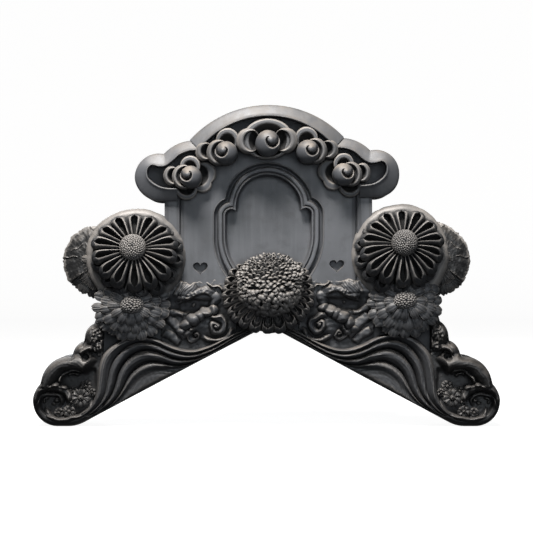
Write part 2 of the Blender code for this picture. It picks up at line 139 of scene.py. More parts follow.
def crossing(one, other):
    """Where two circles cross: the point to the left of the way from one centre to the other."""
    (x, y, r), (u, v, s) = one, other
    gap = math.hypot(u - x, v - y)
    near = (gap * gap + r * r - s * s) / (2 * gap)
    rise = math.sqrt(max(r * r - near * near, 0))
    ex, ey = (u - x) / gap, (v - y) / gap
    return x + near * ex - rise * ey, y + near * ey + rise * ex


def bearing(circle, point):
    """Direction from a circle's centre to a point, in degrees."""
    return math.degrees(math.atan2(point[1] - circle[1], point[0] - circle[0]))


def chain(circles, start, end, shrink, steps):
    """Arcs of several circles joined where they cross, all made smaller by shrink."""
    shrunk = [(x, y, r - shrink) for x, y, r in circles]
    ends = [crossing(a, b) for a, b in zip(shrunk, shrunk[1:])]
    starts = [start] + [bearing(c, p) for c, p in zip(shrunk[1:], ends)]
    stops = [bearing(c, p) for c, p in zip(shrunk, ends)] + [end]
    return np.concatenate([arc(c, a, b, n) for c, a, b, n in zip(shrunk, starts, stops, steps)])


def inset(outline, depth):
    """The closed outline moved inwards by depth: outer corners mitred, corners that point inwards kept blunt."""
    ahead, behind = np.roll(outline, -1, 0) - outline, outline - np.roll(outline, 1, 0)
    turn = np.sign(np.sum(outline[:, 0] * np.roll(outline[:, 1], -1) - outline[:, 1] * np.roll(outline[:, 0], -1)))
    normals = []
    for edge in (behind, ahead):
        unit = edge / np.maximum(np.linalg.norm(edge, axis=1, keepdims=True), 1e-9)
        normals.append(turn * rows(-unit[:, 1], unit[:, 0]))
    total = normals[0] + normals[1]
    size = np.linalg.norm(total, axis=1, keepdims=True)
    inward = (turn * (behind[:, 0] * ahead[:, 1] - behind[:, 1] * ahead[:, 0]) * np.sign(depth) < 0)[:, None]
    return outline + depth * total / np.where(inward, np.maximum(size, 0.2), np.maximum(size**2 / 2, 0.35))


def inside(points, outline):
    """Whether each point lies in a closed outline: a ray to its right crosses an odd number of edges."""
    a, b = outline, np.roll(outline, -1, 0)
    x, y = points[:, :1], points[:, 1:]
    level = np.where(b[:, 1] == a[:, 1], 1e-9, b[:, 1] - a[:, 1])
    met = a[:, 0] + (y - a[:, 1]) * (b[:, 0] - a[:, 0]) / level
    return (((a[:, 1] > y) != (b[:, 1] > y)) & (x < met)).sum(1) % 2 == 1


def clear_of_holes(points, loops):
    """Whether each point lies in the first closed outline and in none of the others."""
    held = inside(points, loops[0])
    for hole in loops[1:]:
        held &= ~inside(points, hole)
    return held


def seat(x):
    """Height of the line the tile sits on: it falls away from its apex on one slope."""
    return SEAT_APEX - SEAT_SLOPE * np.abs(x)


def around(steps):
    """Even angles once round."""
    return np.linspace(0, TAU, steps, endpoint=False)


def revolved(profile, steps):
    """Rings of a profile of (radius, height) turned about the z axis."""
    radius, height = np.array(profile, float).T[..., None]
    a = around(steps)
    return rows(radius * np.cos(a), radius * np.sin(a), height)


def sheet(x, y, level, back):
    """A relief surface as closed sections: its top, then its last and first edge again at the back's level."""
    return np.concatenate([rows(x, y, level), rows(x, y, back)[:, [-1, 0]]], 1)


def strips(n, m):
    """Faces between n rings of m points, numbered ring by ring."""
    i, j = np.meshgrid(np.arange(n - 1), np.arange(m), indexing="ij")
    k = (j + 1) % m
    return rows(i * m + j, i * m + k, (i + 1) * m + k, (i + 1) * m + j).astype(int).reshape(-1, 4)


# ---------------------------------------------------------------- gathering clay into pieces

def stand(points):
    """Relief to frame. The tile is hand built: its right side rises a little, and its panel sits to the right."""
    x, y, z = points[:, 0], points[:, 1], points[:, 2]
    hold = smooth((300 - np.abs(x)) / 100)
    leaned = y + LEAN * x * hold * window(y, 60, 120, 520, 60)
    shifted = x + PANEL_SHIFT * smooth((y - 90) / 100) * (1 - 0.8 * smooth((y - 330) / 40)) * hold
    return rows(shifted, BACK_PLANE - z, leaned) * MM


PIECES = []


class Clay:
    """Closed shells of one piece, gathered as whole arrays. Edges sharper than crisp degrees stay hard."""

    def __init__(self, name, crisp, side=0):
        self.name, self.crisp = name + ("", "_right", "_left")[side], crisp
        self.points, self.quads, self.triangles, self.total = [], [], [], 0

    def put(self, points, quads=(), triangles=()):
        points = points.reshape(-1, 3)
        self.points.append(points)
        self.quads.append(np.asarray(quads, int).reshape(-1, 4) + self.total)
        self.triangles.append(np.asarray(triangles, int).reshape(-1, 3) + self.total)
        self.total += len(points)

    def shell(self, sections):
        """Closed cross-sections carried along a path, and shut at both ends by a fan to their middle.

        Sections are (..., along, around, 3). Each shell that comes out inside out is turned round.
        """
        sections = np.asarray(sections, float)
        sections = sections.reshape(-1, *sections.shape[-3:])
        for block in sections:
            n, m, _ = block.shape
            points = np.concatenate([block.reshape(-1, 3), block[[0, -1]].mean(1)])
            quads, j = strips(n, m), np.arange(m)
            k = (j + 1) % m
            fans = np.concatenate([rows(n * m, k, j), rows(n * m + 1, (n - 1) * m + j, (n - 1) * m + k)]).astype(int)
            halves = np.concatenate([quads[:, :3], quads[:, [0, 2, 3]], fans])
            a, b, c = (points[halves[:, q]] for q in range(3))
            if np.einsum("ij,ij->i", a, np.cross(b, c)).sum() < 0:
                quads, fans = quads[:, ::-1], fans[:, ::-1]
            self.put(points, quads, fans)

    def face(self, loops, level, net=5.0):
        """A flat face at one level over a net of even points. Every loop after the first is a hole in it."""
        bounds = np.cumsum([0] + [len(loop) for loop in loops])
        edges = [(k, k + 1 if k + 1 < stop else start) for start, stop in zip(bounds, bounds[1:])
                 for k in range(start, stop)]
        low, high = loops[0].min(0), loops[0].max(0)
        x, y = np.meshgrid(np.arange(low[0] + net / 2, high[0], net), np.arange(low[1] + net / 2, high[1], net))
        even = rows(x, y).reshape(-1, 2)
        even = even[clear_of_holes(even, loops)]
        found = delaunay_2d_cdt(np.concatenate([*loops, even]).tolist(), edges, [], 1, 1e-5)
        flat, faces = np.array([tuple(p) for p in found[0]]), np.array(found[2])
        keep = clear_of_holes(flat[faces].mean(1), loops)
        self.put(rows(flat[:, 0], flat[:, 1], level), triangles=faces[keep])

    def wall(self, rings):
        """Strips between closed rings of equal count, each given as (outline, level)."""
        grid = np.stack([rows(ring[:, 0], ring[:, 1], level) for ring, level in rings])
        self.put(grid, strips(*grid.shape[:2]))

    def slab(self, outline, back, front, edge, holes=()):
        """A slab with its front edge worked to a profile of (inset, drop) steps. Holes cut only its face."""
        rings = [(outline, back)] + [(inset(outline, d), front - drop) for d, drop in edge]
        self.wall(rings)
        self.face([outline], back)
        self.face([rings[-1][0], *holes], front - edge[-1][1])

    def build(self, material, weld=False, broad=1.0):
        """One mesh object of all the shells, with its masks for wear, dirt, painted highlight and painted shade worked
        out, riding on the body.
        """
        points = np.concatenate(self.points)
        quads, triangles = np.concatenate(self.quads), np.concatenate(self.triangles)
        mesh = bpy.data.meshes.new(self.name)
        mesh.vertices.add(len(points))
        mesh.vertices.foreach_set("co", stand(points).astype(np.float32).ravel())
        corners = np.concatenate([quads.ravel(), triangles.ravel()]).astype(np.int32)
        starts = np.concatenate([np.arange(len(quads)) * 4, len(quads) * 4 + np.arange(len(triangles)) * 3])
        mesh.loops.add(len(corners))
        mesh.loops.foreach_set("vertex_index", corners)
        mesh.polygons.add(len(starts))
        mesh.polygons.foreach_set("loop_start", starts.astype(np.int32))
        mesh.update(calc_edges=True)
        if weld:
            work = bmesh.new()
            work.from_mesh(mesh)
            bmesh.ops.remove_doubles(work, verts=work.verts, dist=2e-6)
            bmesh.ops.recalc_face_normals(work, faces=work.faces)
            work.to_mesh(mesh)
            work.free()
        mesh.validate()
        mesh.shade_smooth()
        mesh.set_sharp_from_angle(angle=math.radians(self.crisp))
        form_masks_of(mesh, broad)
        piece = bpy.data.objects.new(self.name, mesh)
        bpy.context.scene.collection.objects.link(piece)
        mesh.materials.append(material)
        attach(piece, BODY)
        PIECES.append(piece)
        return piece


CELL, FILLS = 1.5, 12
DIRECTIONS, LOOKS = 12, (2.6, 4.5, 7, 11, 17, 26, 40)
SMOOTHING_PASSES = 14


def paint_hollow_shade(pieces, outline):
    """Point attribute `hollow` on every piece, for the painted shade in its hollows: how much of the view straight out
    the relief around a point hides.

    The relief's height is the highest point in each cell of an even grid, filled in between over the outline. In
    each direction the horizon is the steepest rise to the heights at growing distances; the value is the
    mean of its sine squared. Behind the joint of carcass and carving it fades to 0.
    """
    places = []
    for piece in pieces:
        flat = np.empty(len(piece.data.vertices) * 3)
        piece.data.vertices.foreach_get("co", flat)
        x, y, z = flat.reshape(-1, 3).T / MM
        places.append(rows(x, z, BACK_PLANE - y))
    every = np.concatenate(places)
    low = every[:, :2].min(0) - 3 * CELL
    count = ((every[:, :2].max(0) - low) / CELL).astype(int) + 4
    height = np.zeros(count)
    i, j = ((every[:, :2] - low) / CELL).astype(int).T
    np.maximum.at(height, (i, j), every[:, 2])
    centre = rows(*np.meshgrid(*[low[k] + CELL * (np.arange(count[k]) + 0.5) for k in (0, 1)], indexing="ij"))
    body = stand(rows(outline[:, 0], outline[:, 1], 0))[:, (0, 2)] / MM
    within = inside(centre.reshape(-1, 2), body).reshape(count)
    for _ in range(FILLS):
        known = (height > POCKET - 6).astype(float)
        total, seen = np.zeros(count), np.zeros(count)
        for shift in ((1, 0), (-1, 0), (0, 1), (0, -1)):
            total += np.roll(height * known, shift, (0, 1))
            seen += np.roll(known, shift, (0, 1))
        height = np.where((known == 0) & within & (seen > 0), total / np.maximum(seen, 1), height)
    for piece, place in zip(pieces, places):
        hidden = np.zeros(len(place))
        for turn in np.arange(DIRECTIONS) * TAU / DIRECTIONS:
            slope = np.zeros(len(place))
            for far in LOOKS:
                i, j = ((place[:, :2] + far * np.array((math.cos(turn), math.sin(turn))) - low) / CELL).astype(int).T
                there = height[np.clip(i, 0, count[0] - 1), np.clip(j, 0, count[1] - 1)]
                slope = np.maximum(slope, (there - place[:, 2] - 0.4) / far)
            hidden += slope**2 / (1 + slope**2) / DIRECTIONS
        mark(piece.data, "hollow", hidden * smooth((place[:, 2] - 64) / 14))


def mark(mesh, name, value):
    """A point attribute of one number."""
    mesh.attributes.new(name, "FLOAT", "POINT").data.foreach_set("value", value.astype(np.float32))


def form_masks_of(mesh, share):
    """Point attributes from the mesh's own form: `ridge_wear_and_highlight` where it stands out, for worn edges and a
    painted highlight; `crease_dirt_and_shade` where it is cut in, for dirt and painted shade in creases; and `upward`,
    the part of its normal that points up, for dust and painted top light.

    Fine: the mean over a point's edges of normal . edge / length^2, in 1/mm. Broad: how far a surface smoothed
    SMOOTHING_PASSES times over its neighbours lies above the point, along its normal, in mm. Both are below 0 on
    ridges.
    """
    count = len(mesh.vertices)
    points, normals = np.empty(count * 3), np.empty(count * 3)
    mesh.vertices.foreach_get("co", points)
    mesh.vertex_normals.foreach_get("vector", normals)
    ends = np.empty(len(mesh.edges) * 2, np.int32)
    mesh.edges.foreach_get("vertices", ends)
    points, normals, ends = points.reshape(-1, 3) / MM, normals.reshape(-1, 3), ends.reshape(-1, 2)
    edge = points[ends[:, 1]] - points[ends[:, 0]]
    square = np.maximum((edge**2).sum(1), 0.04)
    total = np.zeros(count)
    for near, way in ((0, 1), (1, -1)):
        total += np.bincount(ends[:, near], way * (normals[ends[:, near]] * edge).sum(1) / square, count)
    times = np.maximum(np.bincount(ends.ravel(), minlength=count), 1)
    fine = total / times
    even = points.copy()
    for _ in range(SMOOTHING_PASSES):
        even = np.stack([(np.bincount(ends[:, 0], even[ends[:, 1], k], count)
                          + np.bincount(ends[:, 1], even[ends[:, 0], k], count)) / times for k in range(3)], -1)
    broad = share * ((even - points) * normals).sum(1)
    # Ridges: a mask for worn edges and a painted highlight.
    ridge_wear_and_highlight = -2.2 * fine - 0.25 * broad
    # Creases: a mask for dirt and painted shade.
    crease_dirt_and_shade = 1.6 * fine + 0.5 * broad
    for name, value in (("ridge_wear_and_highlight", ridge_wear_and_highlight), ("crease_dirt_and_shade", crease_dirt_and_shade), ("upward", normals[:, 2])):
        mark(mesh, name, np.clip(value, 0, 1))


# ---------------------------------------------------------------- shapes shared by the ornaments

def about(points, centre, level, tilt=0.0, flatten=1.0):
    """Sets a flower's own frame in the relief: its face is tipped up by tilt degrees."""
    c, s = math.cos(math.radians(tilt)), math.sin(math.radians(tilt))
    x, y, z = points[..., 0], points[..., 1] * flatten, points[..., 2]
    return rows(centre[0] + x, centre[1] + c * y + s * z, level - s * y + c * z)


def ringed(petal, angles, grow=1, lift=0, sag=0):
    """Copies of a petal that points along +y, turned about z to the given angles (degrees, from +x)."""
    a, grow, lift = (np.resize(each, (len(angles), 1, 1)) for each in (np.radians(angles), grow, lift))
    x, y = petal[..., 0] * grow, petal[..., 1] * grow
    droop = sag * np.clip(-np.sin(a), 0, 1) * (y / petal[..., 1].max()) ** 2
    return rows(y * np.cos(a) + x * np.sin(a), y * np.sin(a) - x * np.cos(a), petal[..., 2] + lift - droop)


def ball(radii, steps, up):
    """An ellipsoid as rings between its two poles."""
    t = np.linspace(0.04, math.pi - 0.04, up)
    return revolved(rows(np.sin(t), np.cos(t)), steps) * radii


def lattice(count, spread, rng):
    """Nearly even directions over a sphere: by the golden angle, each moved a little at random."""
    k = np.arange(count) + 0.5
    z = 1 - 2 * k / count
    a = k * math.pi * (3 - math.sqrt(5))
    points = rows(np.sqrt(1 - z * z) * np.cos(a), np.sqrt(1 - z * z) * np.sin(a), z)
    points += rng.normal(0, spread, (count, 3))
    return points / np.linalg.norm(points, axis=1, keepdims=True)


def beaded(radii, count, bead, steps=150, up=60, seed=0):
    """The front of a ball covered in beads: half an ellipse over each of the even directions, pits between."""
    t = np.linspace(0.02, 1.9, up)
    unit = revolved(rows(np.sin(t), np.cos(t)), steps)
    seeds = lattice(count, 0.014, np.random.default_rng(seed))
    near = np.arccos(np.clip((unit.reshape(-1, 3) @ seeds.T).max(1), -1, 1)).reshape(unit.shape[:2])
    half = math.sqrt(2 * math.pi / (math.sqrt(3) * count))
    rise = np.sqrt(np.maximum(1 - (near / half / 1.04) ** 2, 0))
    return unit * (np.array(radii) + bead * (rise[..., None] - 1))


def spoon(start, end, share, slot, depth, rise, thick, steps=30, tip=0.2, blunt=1.0, throat=0.25):
    """A hollow petal along +y from start to end.

    u runs along it. Its half width is its share of the circle (a slope on the distance), closed at the tip by
    an ellipse. The slot takes up a share of that width, from throat near the flower's middle to slot further
    out, and another ellipse shuts it short of the tip. A cross-section goes from the slot's floor up its wall,
    over the lip, down the flank and under.
    """
    u = 1 - (1 - np.linspace(0, 1, steps)) ** 1.45
    y = start + (end - start) * u
    close = np.sqrt(np.maximum(1 - np.clip((u - 1 + tip) / tip, 0, 1) ** (2 * blunt), 0))
    w = np.maximum(share * y, 0.6) * np.maximum(close, 0.02)
    shut = np.clip((u - 1 + tip + 0.08) / 0.2, 0, 1)
    part = (throat + (slot - throat) * smooth(u / 0.6)) * np.sqrt(np.maximum(1 - shut**2, 0))
    s = np.minimum(part, 0.8) * share * y * smooth((u - 0.005) / 0.05)
    s = np.minimum(s, 0.82 * w)
    crest = np.interp(u, *np.array(rise).T) - 5.5 * (1 - close)
    floor = crest - depth * smooth(part / (0.35 * slot)) - 0.2
    under = crest - np.maximum(thick * close, 0.4)
    rim = w - s
    half = [
        (0 * s, floor), (0.55 * s, floor + 0.2), (0.86 * s, floor * 0.85 + crest * 0.15),
        (0.96 * s, floor * 0.35 + crest * 0.65), (s + 0.02 * rim, crest - 0.8 * close), (s + 0.16 * rim, crest),
        (s + 0.4 * rim, crest - 0.3 * close), (s + 0.7 * rim, crest - 2.2 * close),
        (s + 0.93 * rim, crest - 5 * close), (w, crest - 0.66 * thick * close), (0.8 * w, under), (0 * s, under),
    ]
    return mirrored(np.stack([rows(a, y, b) for a, b in half], 1))


def mirrored(right):
    """Whole cross-sections from their right halves, which start and end on the middle line."""
    return np.concatenate([right, right[:, -2:0:-1] * (-1, 1, 1)], 1)


def leaf(length, width, veins, notch=0.1, base=0.35, cup=1.5, bow=4.0, thick=3.0, steps=16, across=17, seed=0,
         deep=1.0):
    """A flat veined petal along +y.

    Half width grows from base to 1 of width; the tip row is rounded by v^2.7 and notched in its middle; the
    height is a bow along it, a cup across it and grooves |cos| ^ 7 for the veins, deeper towards the tip.
    """
    rng = np.random.default_rng(seed)
    u, v = np.linspace(0, 1, steps)[:, None], np.linspace(-1, 1, across)[None]
    w = width * (base + (1 - base) * smooth(u / 0.72)) * (1 - 0.16 * u**6)
    ragged = 1 + 0.02 * np.interp(v, np.linspace(-1, 1, 9), rng.normal(0, 1, 9))
    y = (length * u - w * u**3 * (0.62 * np.abs(v) ** 2.7 + notch * np.exp(-((v / 0.16) ** 2)))) * ragged
    groove = np.abs(np.cos(math.pi * veins * (v + 0.5 / veins) / 2)) ** 7
    height = bow * np.sin(math.pi * (0.15 + 0.75 * u)) - cup * v**2 - deep * (0.35 + 0.75 * u) * groove
    height = height - 1.4 * u**8 * (1 - v**2)
    top = rows(w * v, y + 0 * v, height)
    under = rows(w * v * 0.97, y * 0.985 + 0 * v, height - thick)[:, ::-4]
    return np.concatenate([top, under], 1)


# ---------------------------------------------------------------- the body

def hood_outline(shrink=0):
    """Right half of the hood's outer edge, from the top of its arch to the bottom of its scroll."""
    return chain(HOOD, 90, -90, shrink, HOOD_STEPS)


def rim_lines():
    """The hood's shoulder, scroll and lower arm on the right: its outer edge, and the inner edge that it meets.

    The outer edge is two arcs and a line. The inner edge is a smooth curve through the hooked hollow's corners,
    stretched between the places where the two edges belong together.
    """
    shoulder, scroll = HOOD[1:]
    start, cusp = crossing(HOOD[0], shoulder), crossing(shoulder, scroll)
    outer = np.concatenate([
        arc(shoulder, bearing(shoulder, start) + 5, bearing(shoulder, cusp), 22),
        arc(scroll, bearing(scroll, cusp), -90, 56)[1:],
        rows(np.linspace(157, 132, 8)[1:], 330.5),
    ])
    hollow = curve([(97, 402.6), (104, 402.5), (113, 401.4), (126, 396.4), (137.5, 386.5), (147, 380.4), (155, 379.6),
                    (160, 381), (164.3, 382.4), (168.7, 380.8), (171.9, 376.5), (172.8, 371), (171.3, 364.6),
                    (167, 359.2), (161, 354.6), (153, 350.6), (144, 348.8), (132, 348.2)], 500)
    met = [(97, 402.6), (147, 380.4), (164.3, 382.4), (172.8, 371), (153, 350.6), (132, 348.2)]
    places = [np.hypot(*(hollow - point).T).argmin() for point in met]
    share = np.interp(np.arange(len(outer)), (0, 21, 36, 50, 77, len(outer) - 1), places)
    inner = rows(*[np.interp(share, np.arange(500), hollow[:, k]) for k in (0, 1)])
    return outer, inner


def rim(outer, inner, lift=0.0):
    """The hood's moulding between two edges: a crisp outer edge, a face that slopes up, and a fine inner lip."""
    profile = [(0, JOINT), (0, 111), (0.02, 113.2), (0.06, 114.8), (0.13, 115.9), (0.3, 117.8), (0.5, 120),
               (0.7, 122), (0.83, 123.3), (0.87, 124.3), (0.91, 125), (0.95, 125.1), (0.985, 124.6), (1, 123),
               (1.015, 110), (1.03, FLOOR - 3), (0.9, JOINT)]
    share, level = np.array(profile).T
    flat = outer[:, None] + (inner - outer)[:, None] * share[:, None]
    return rows(flat[..., 0], flat[..., 1], level + lift * (level > JOINT))


def leg_outline():
    """Right half of the saddle's outline: seat, heel, foot, horn and lobes, closed behind the flowers."""
    rise = HEEL / math.cos(SEAT_ANGLE) - HEEL
    heel = ((SEAT_APEX + rise) / SEAT_SLOPE, HEEL, HEEL)
    return np.concatenate([
        rows(np.linspace(0, 235, 24), seat(np.linspace(0, 235, 24))),
        arc(heel, -118, -90, 10), arc(FOOT, -90, 50, 40), arc(HORN, 8, 92, 26),
        arc(LOBES[0], 4, 62, 14), arc(LOBES[1], -12, 62, 16),
        [(240, 190), (152, 258)],
    ])


def carcass_outline():
    """The whole tile's outline behind the carving: leg and hood, mirrored."""
    return both_halves(np.concatenate([leg_outline(), [HOOD_FOOT], hood_outline()[::-1]]))


def cartouche(depth):
    """The sunk window's lobed outline at a distance inside its edge: arch, shoulders and belly."""
    upper = chain(CARTOUCHE, 90, 0, depth, (44, 16))
    half_width = CARTOUCHE[1][0] + CARTOUCHE[1][2] - depth
    a = np.linspace(0, -math.pi / 2, 30)[1:]
    belly = rows(half_width * np.cos(a), BELLY[0] + (BELLY[1] - depth) * np.sin(a))
    return both_halves(np.concatenate([upper, belly]))


def heart(side, grown=0.0):
    """16 sin^3 t across and 13 cos t - 5 cos 2t - 2 cos 3t - cos 4t up, 22 wide, grown by a margin."""
    t = around(48)
    y = 13 * np.cos(t) - 5 * np.cos(2 * t) - 2 * np.cos(3 * t) - np.cos(4 * t)
    scale = 1 + grown / 10
    return rows(side * 99 + 11 * scale * np.sin(t) ** 3, 233 + 0.66 * scale * y)


def tile_body():
    """Carcass with its hollow back, leg face, panel with its window and hearts, hood floor and moulded rim."""
    clay = Clay("tile_body", 30)
    leg, carcass, pockets = leg_outline(), carcass_outline(), back_pockets()
    rings = [(inset(carcass, 1.2), 0), (inset(carcass, 0.3), 0.5), (carcass, 1.8), (carcass, JOINT)]
    clay.wall(rings)
    clay.face([rings[0][0], *[inset(p, -1.2) for p in pockets]], 0)
    clay.face([carcass], JOINT)
    for pocket in pockets:
        clay.wall([(inset(pocket, -1.2), 0), (pocket, 1.2), (pocket, POCKET - 5), (inset(pocket, 1.5), POCKET - 1.5),
                   (inset(pocket, 5), POCKET)])
        clay.face([inset(pocket, 5)], POCKET)

    saddle = both_halves(np.concatenate([leg, [(138, 258), (138, 160), (0, 160)]]))
    clay.slab(saddle, JOINT, LEG_FACE, ((0, 7), (1.1, 5.6), (5.6, 1.1), (7, 0.3), (9, 0), (12, 0)))

    panel = both_halves(np.array([(0, 345), (150.5, 345), (150.5, 145), (0, 145)], float))
    clay.slab(panel, JOINT, 87, ((0, 1), (1, 0), (3, 0)))
    pilaster = (128.5, 150.5, PILASTER, ((0, 1.4), (0.35, 0.5), (1.1, 0.1), (2.2, 0), (4.5, 0)))
    lining = (126, 129.5, FIELD - 4.5, ((0, 0), (1, 0)))
    for side in (-1, 1):
        for inner, outer, face, edge in (pilaster, lining):
            strip = np.array([(inner, 196), (outer, 196), (outer, 340), (inner, 340)]) * (side, 1)
            clay.slab(strip, JOINT, face, edge)

    top = curve([(126.5, 350), (100, 364), (80, 383), (58, 397), (30, 408), (0, 411)], 40)
    field = both_halves(np.concatenate([[(0, 152), (46, 152), (52, 196), (126.5, 196)], top]))
    window = cartouche(-3)
    clay.slab(field, 80, FIELD, ((0, 1.6), (0.4, 0.5), (1.3, 0), (3, 0)), [window, heart(-1, 2), heart(1, 2)])
    steps = ((-3, 0), (-0.9, 0), (-0.2, 0.5), (0.5, 0.2), (1.1, -1.4), (2.0, -6.2), (3.4, -7.8), (4.9, -7.6),
             (6.2, -4.2), (6.9, -1.2), (7.6, 0.1), (8.6, 0.5), (11, 0.6), (12.2, 0.2), (12.8, -0.6), (13.2, -2.4),
             (13.9, -2.6), (14.4, -0.9), (15.2, 0), (16.4, -0.1), (17.3, -1.2), (18.0, -4), (18.3, -10), (18.8, -12.8),
             (20.0, -14.4), (22.0, -15.2))
    last = 16.4
    lip = cartouche(last)
    middle = lip.mean(0)
    rings = [(cartouche(d) if d < last else middle + (lip - middle) * (1 - (d - last) / 75), FIELD + rise)
             for d, rise in steps]
    clay.wall(rings)
    clay.face([rings[-1][0]], rings[-1][1])
    for side in (-1, 1):
        clay.wall([(heart(side, 2), FIELD), (heart(side), FIELD), (heart(side, -0.5), FIELD - 0.9),
                   (heart(side, -0.9), FIELD - 6), (heart(side, -1.8), FIELD - 7.6)])
        clay.face([heart(side, -1.8)], FIELD - 7.6)

    floor = both_halves(np.concatenate([hood_outline(6), [(124, 337)], top[:1] - (2, 2), top[1:] - (0.8, 2)]))
    clay.slab(floor, JOINT, FLOOR, ((0, 0), (2, 0)))
    clay.shell(rim(arc(HOOD[0], 137, 43, 90), arc(ARCH_HOLLOW, 141, 39, 90), 1.6))
    for side in (1, -1):
        clay.shell(rim(*[edge * (side, 1) for edge in rim_lines()]))
    clay.shell(tie_bar())
    return clay.build(smoked_clay("smoked_clay_body", streaks=1.0, hollow_shade_strength=0.22, dust_and_top_light_share=0.4), weld=True, broad=0.0)


def back_pockets():
    """The hollows of the back: one behind the panel and one in each leg, with ribs between them."""
    top = arc((0, 314.5, 126), 30, 90, 24)
    middle = np.concatenate([[(0, seat(0) + WALL), (127, seat(127) + WALL), (127, 325), (113, 345)], top])
    leg = np.array([(152, seat(152) + WALL), (262, seat(262) + WALL), (262, 62), (238, 102), (206, 146), (152, 146)])
    return [both_halves(middle), leg, (leg * (-1, 1))[::-1]]


def tie_bar():
    """The round bar across the middle hollow, 19 thick."""
    x, a = np.linspace(-131, 131, 12)[:, None], around(28)
    return rows(x, 300 + 9.5 * np.cos(a), 22 + 9.5 * np.sin(a))


# ---------------------------------------------------------------- flowers

def great_flower(side):
    """Drum with a chipped edge, two rings of spoon petals and the beaded eye."""
    clay = Clay("great_chrysanthemum", 50, side)
    rng = np.random.default_rng(5 + side)
    a = around(160)
    chipped = DRUM[2] - np.abs(np.interp(a, np.linspace(0, TAU, 60), rng.normal(0, 0.6, 60)))
    drum = []
    for short, level in ((2, 46), (0, 50), (0, 102), (0.8, 106.5), (3, 110.5), (6.5, 112.6), (11, 113.4), (30, 114)):
        reach = chipped - short
        drum.append(rows(side * DRUM[0] + reach * np.cos(a), DRUM[1] + reach * np.sin(a), level))
    clay.shell(np.stack(drum))

    rise = ((0, 14), (0.3, 17.5), (0.6, 18), (0.82, 15), (0.93, 11.5), (1, 8))
    petal = spoon(13, 63, 0.206, 0.5, 17, rise, 19, tip=0.24, throat=0.3)
    behind = spoon(30, 66, 0.19, 0.5, 9, ((0, -4), (0.6, -2), (1, -6)), 10, steps=20, tip=0.24)
    n = GREAT_PETALS
    angles = 90 + np.arange(n) * 360 / n
    bloom = ringed(petal, angles + rng.normal(0, 0.9, n), 1 + rng.normal(0, 0.014, n), rng.normal(0, 0.6, n), 15)
    second = ringed(behind, angles + 3 + rng.normal(0, 1.2, n), 1 + rng.normal(0, 0.015, n), sag=16)
    centre = (side * GREAT[0], GREAT[1])
    clay.shell(about(bloom, centre, 130, 20, 0.92))
    clay.shell(about(second - (side * 4, 2, 0), centre, 129, 20, 0.92))
    clay.shell(about(ball((27, 27, 9), 40, 12), centre, 130, 20))
    eye = beaded((19.3, 19.3, 15), 430, 1.7, seed=3 + side)
    clay.shell(about(eye + (side * 2, 2, 19), centre, 130, 14))
    return clay.build(smoked_clay("smoked_clay_great_flower", overall_darkening=0.5, dust_and_top_light_share=0.12, edge_wear_and_highlight=2.0), broad=0.25)


def lower_flower(side):
    """Three rings of notched, veined petals round a cluster of beads."""
    clay = Clay("lower_flower", 50, side)
    rng = np.random.default_rng(21 + side)
    centre = (side * LOWER[0], LOWER[1])
    plans = ((13, 21, 7.6, 13, 12, 0.0), (25, 22.5, 9.4, 6, 16, 11), (35, 23.5, 9.6, -1, 20, 3))
    for inner, length, width, level, count, shift in plans:
        for j in range(count):
            angle = 270 + shift + 360 * j / count + rng.normal(0, 2)
            one = leaf(length * (1 + rng.normal(0, 0.05)), width * (1 + rng.normal(0, 0.07)), rng.choice([2, 3, 4]),
                       notch=rng.choice([0.0, 0.1, 0.2]), base=0.68, bow=2.4, cup=1.6 + rng.uniform(-0.8, 1.4),
                       seed=int(rng.integers(1 << 30)), deep=0.55, across=25, thick=4)
            turned = ringed(one + (0, inner, 0), [angle], sag=6)
            placed = about(turned + (0, 0, level + rng.normal(0, 0.9)), centre, 116, 10, 0.9)
            clay.shell((placed - (centre[0], 0, 0)) * (0.96, 1, 1) + (centre[0] + side, 0, 0))
    disc = np.linspace(0, 1, 8)
    back = np.concatenate([rows(16 + 28 * disc, 10 - 16 * disc**1.4), [(44, -34)]])
    clay.shell(about(revolved(back, 48), centre, 112, 8))
    clay.shell(about(beaded((17, 13, 11), 150, 2.4, 120, 54, seed=9 + side) + (0, 0, 15), centre, 116, 8))
    return clay.build(smoked_clay("smoked_clay_lower_flower", overall_darkening=0.2, dust_and_top_light_share=0.5, edge_wear_and_highlight=1.6))


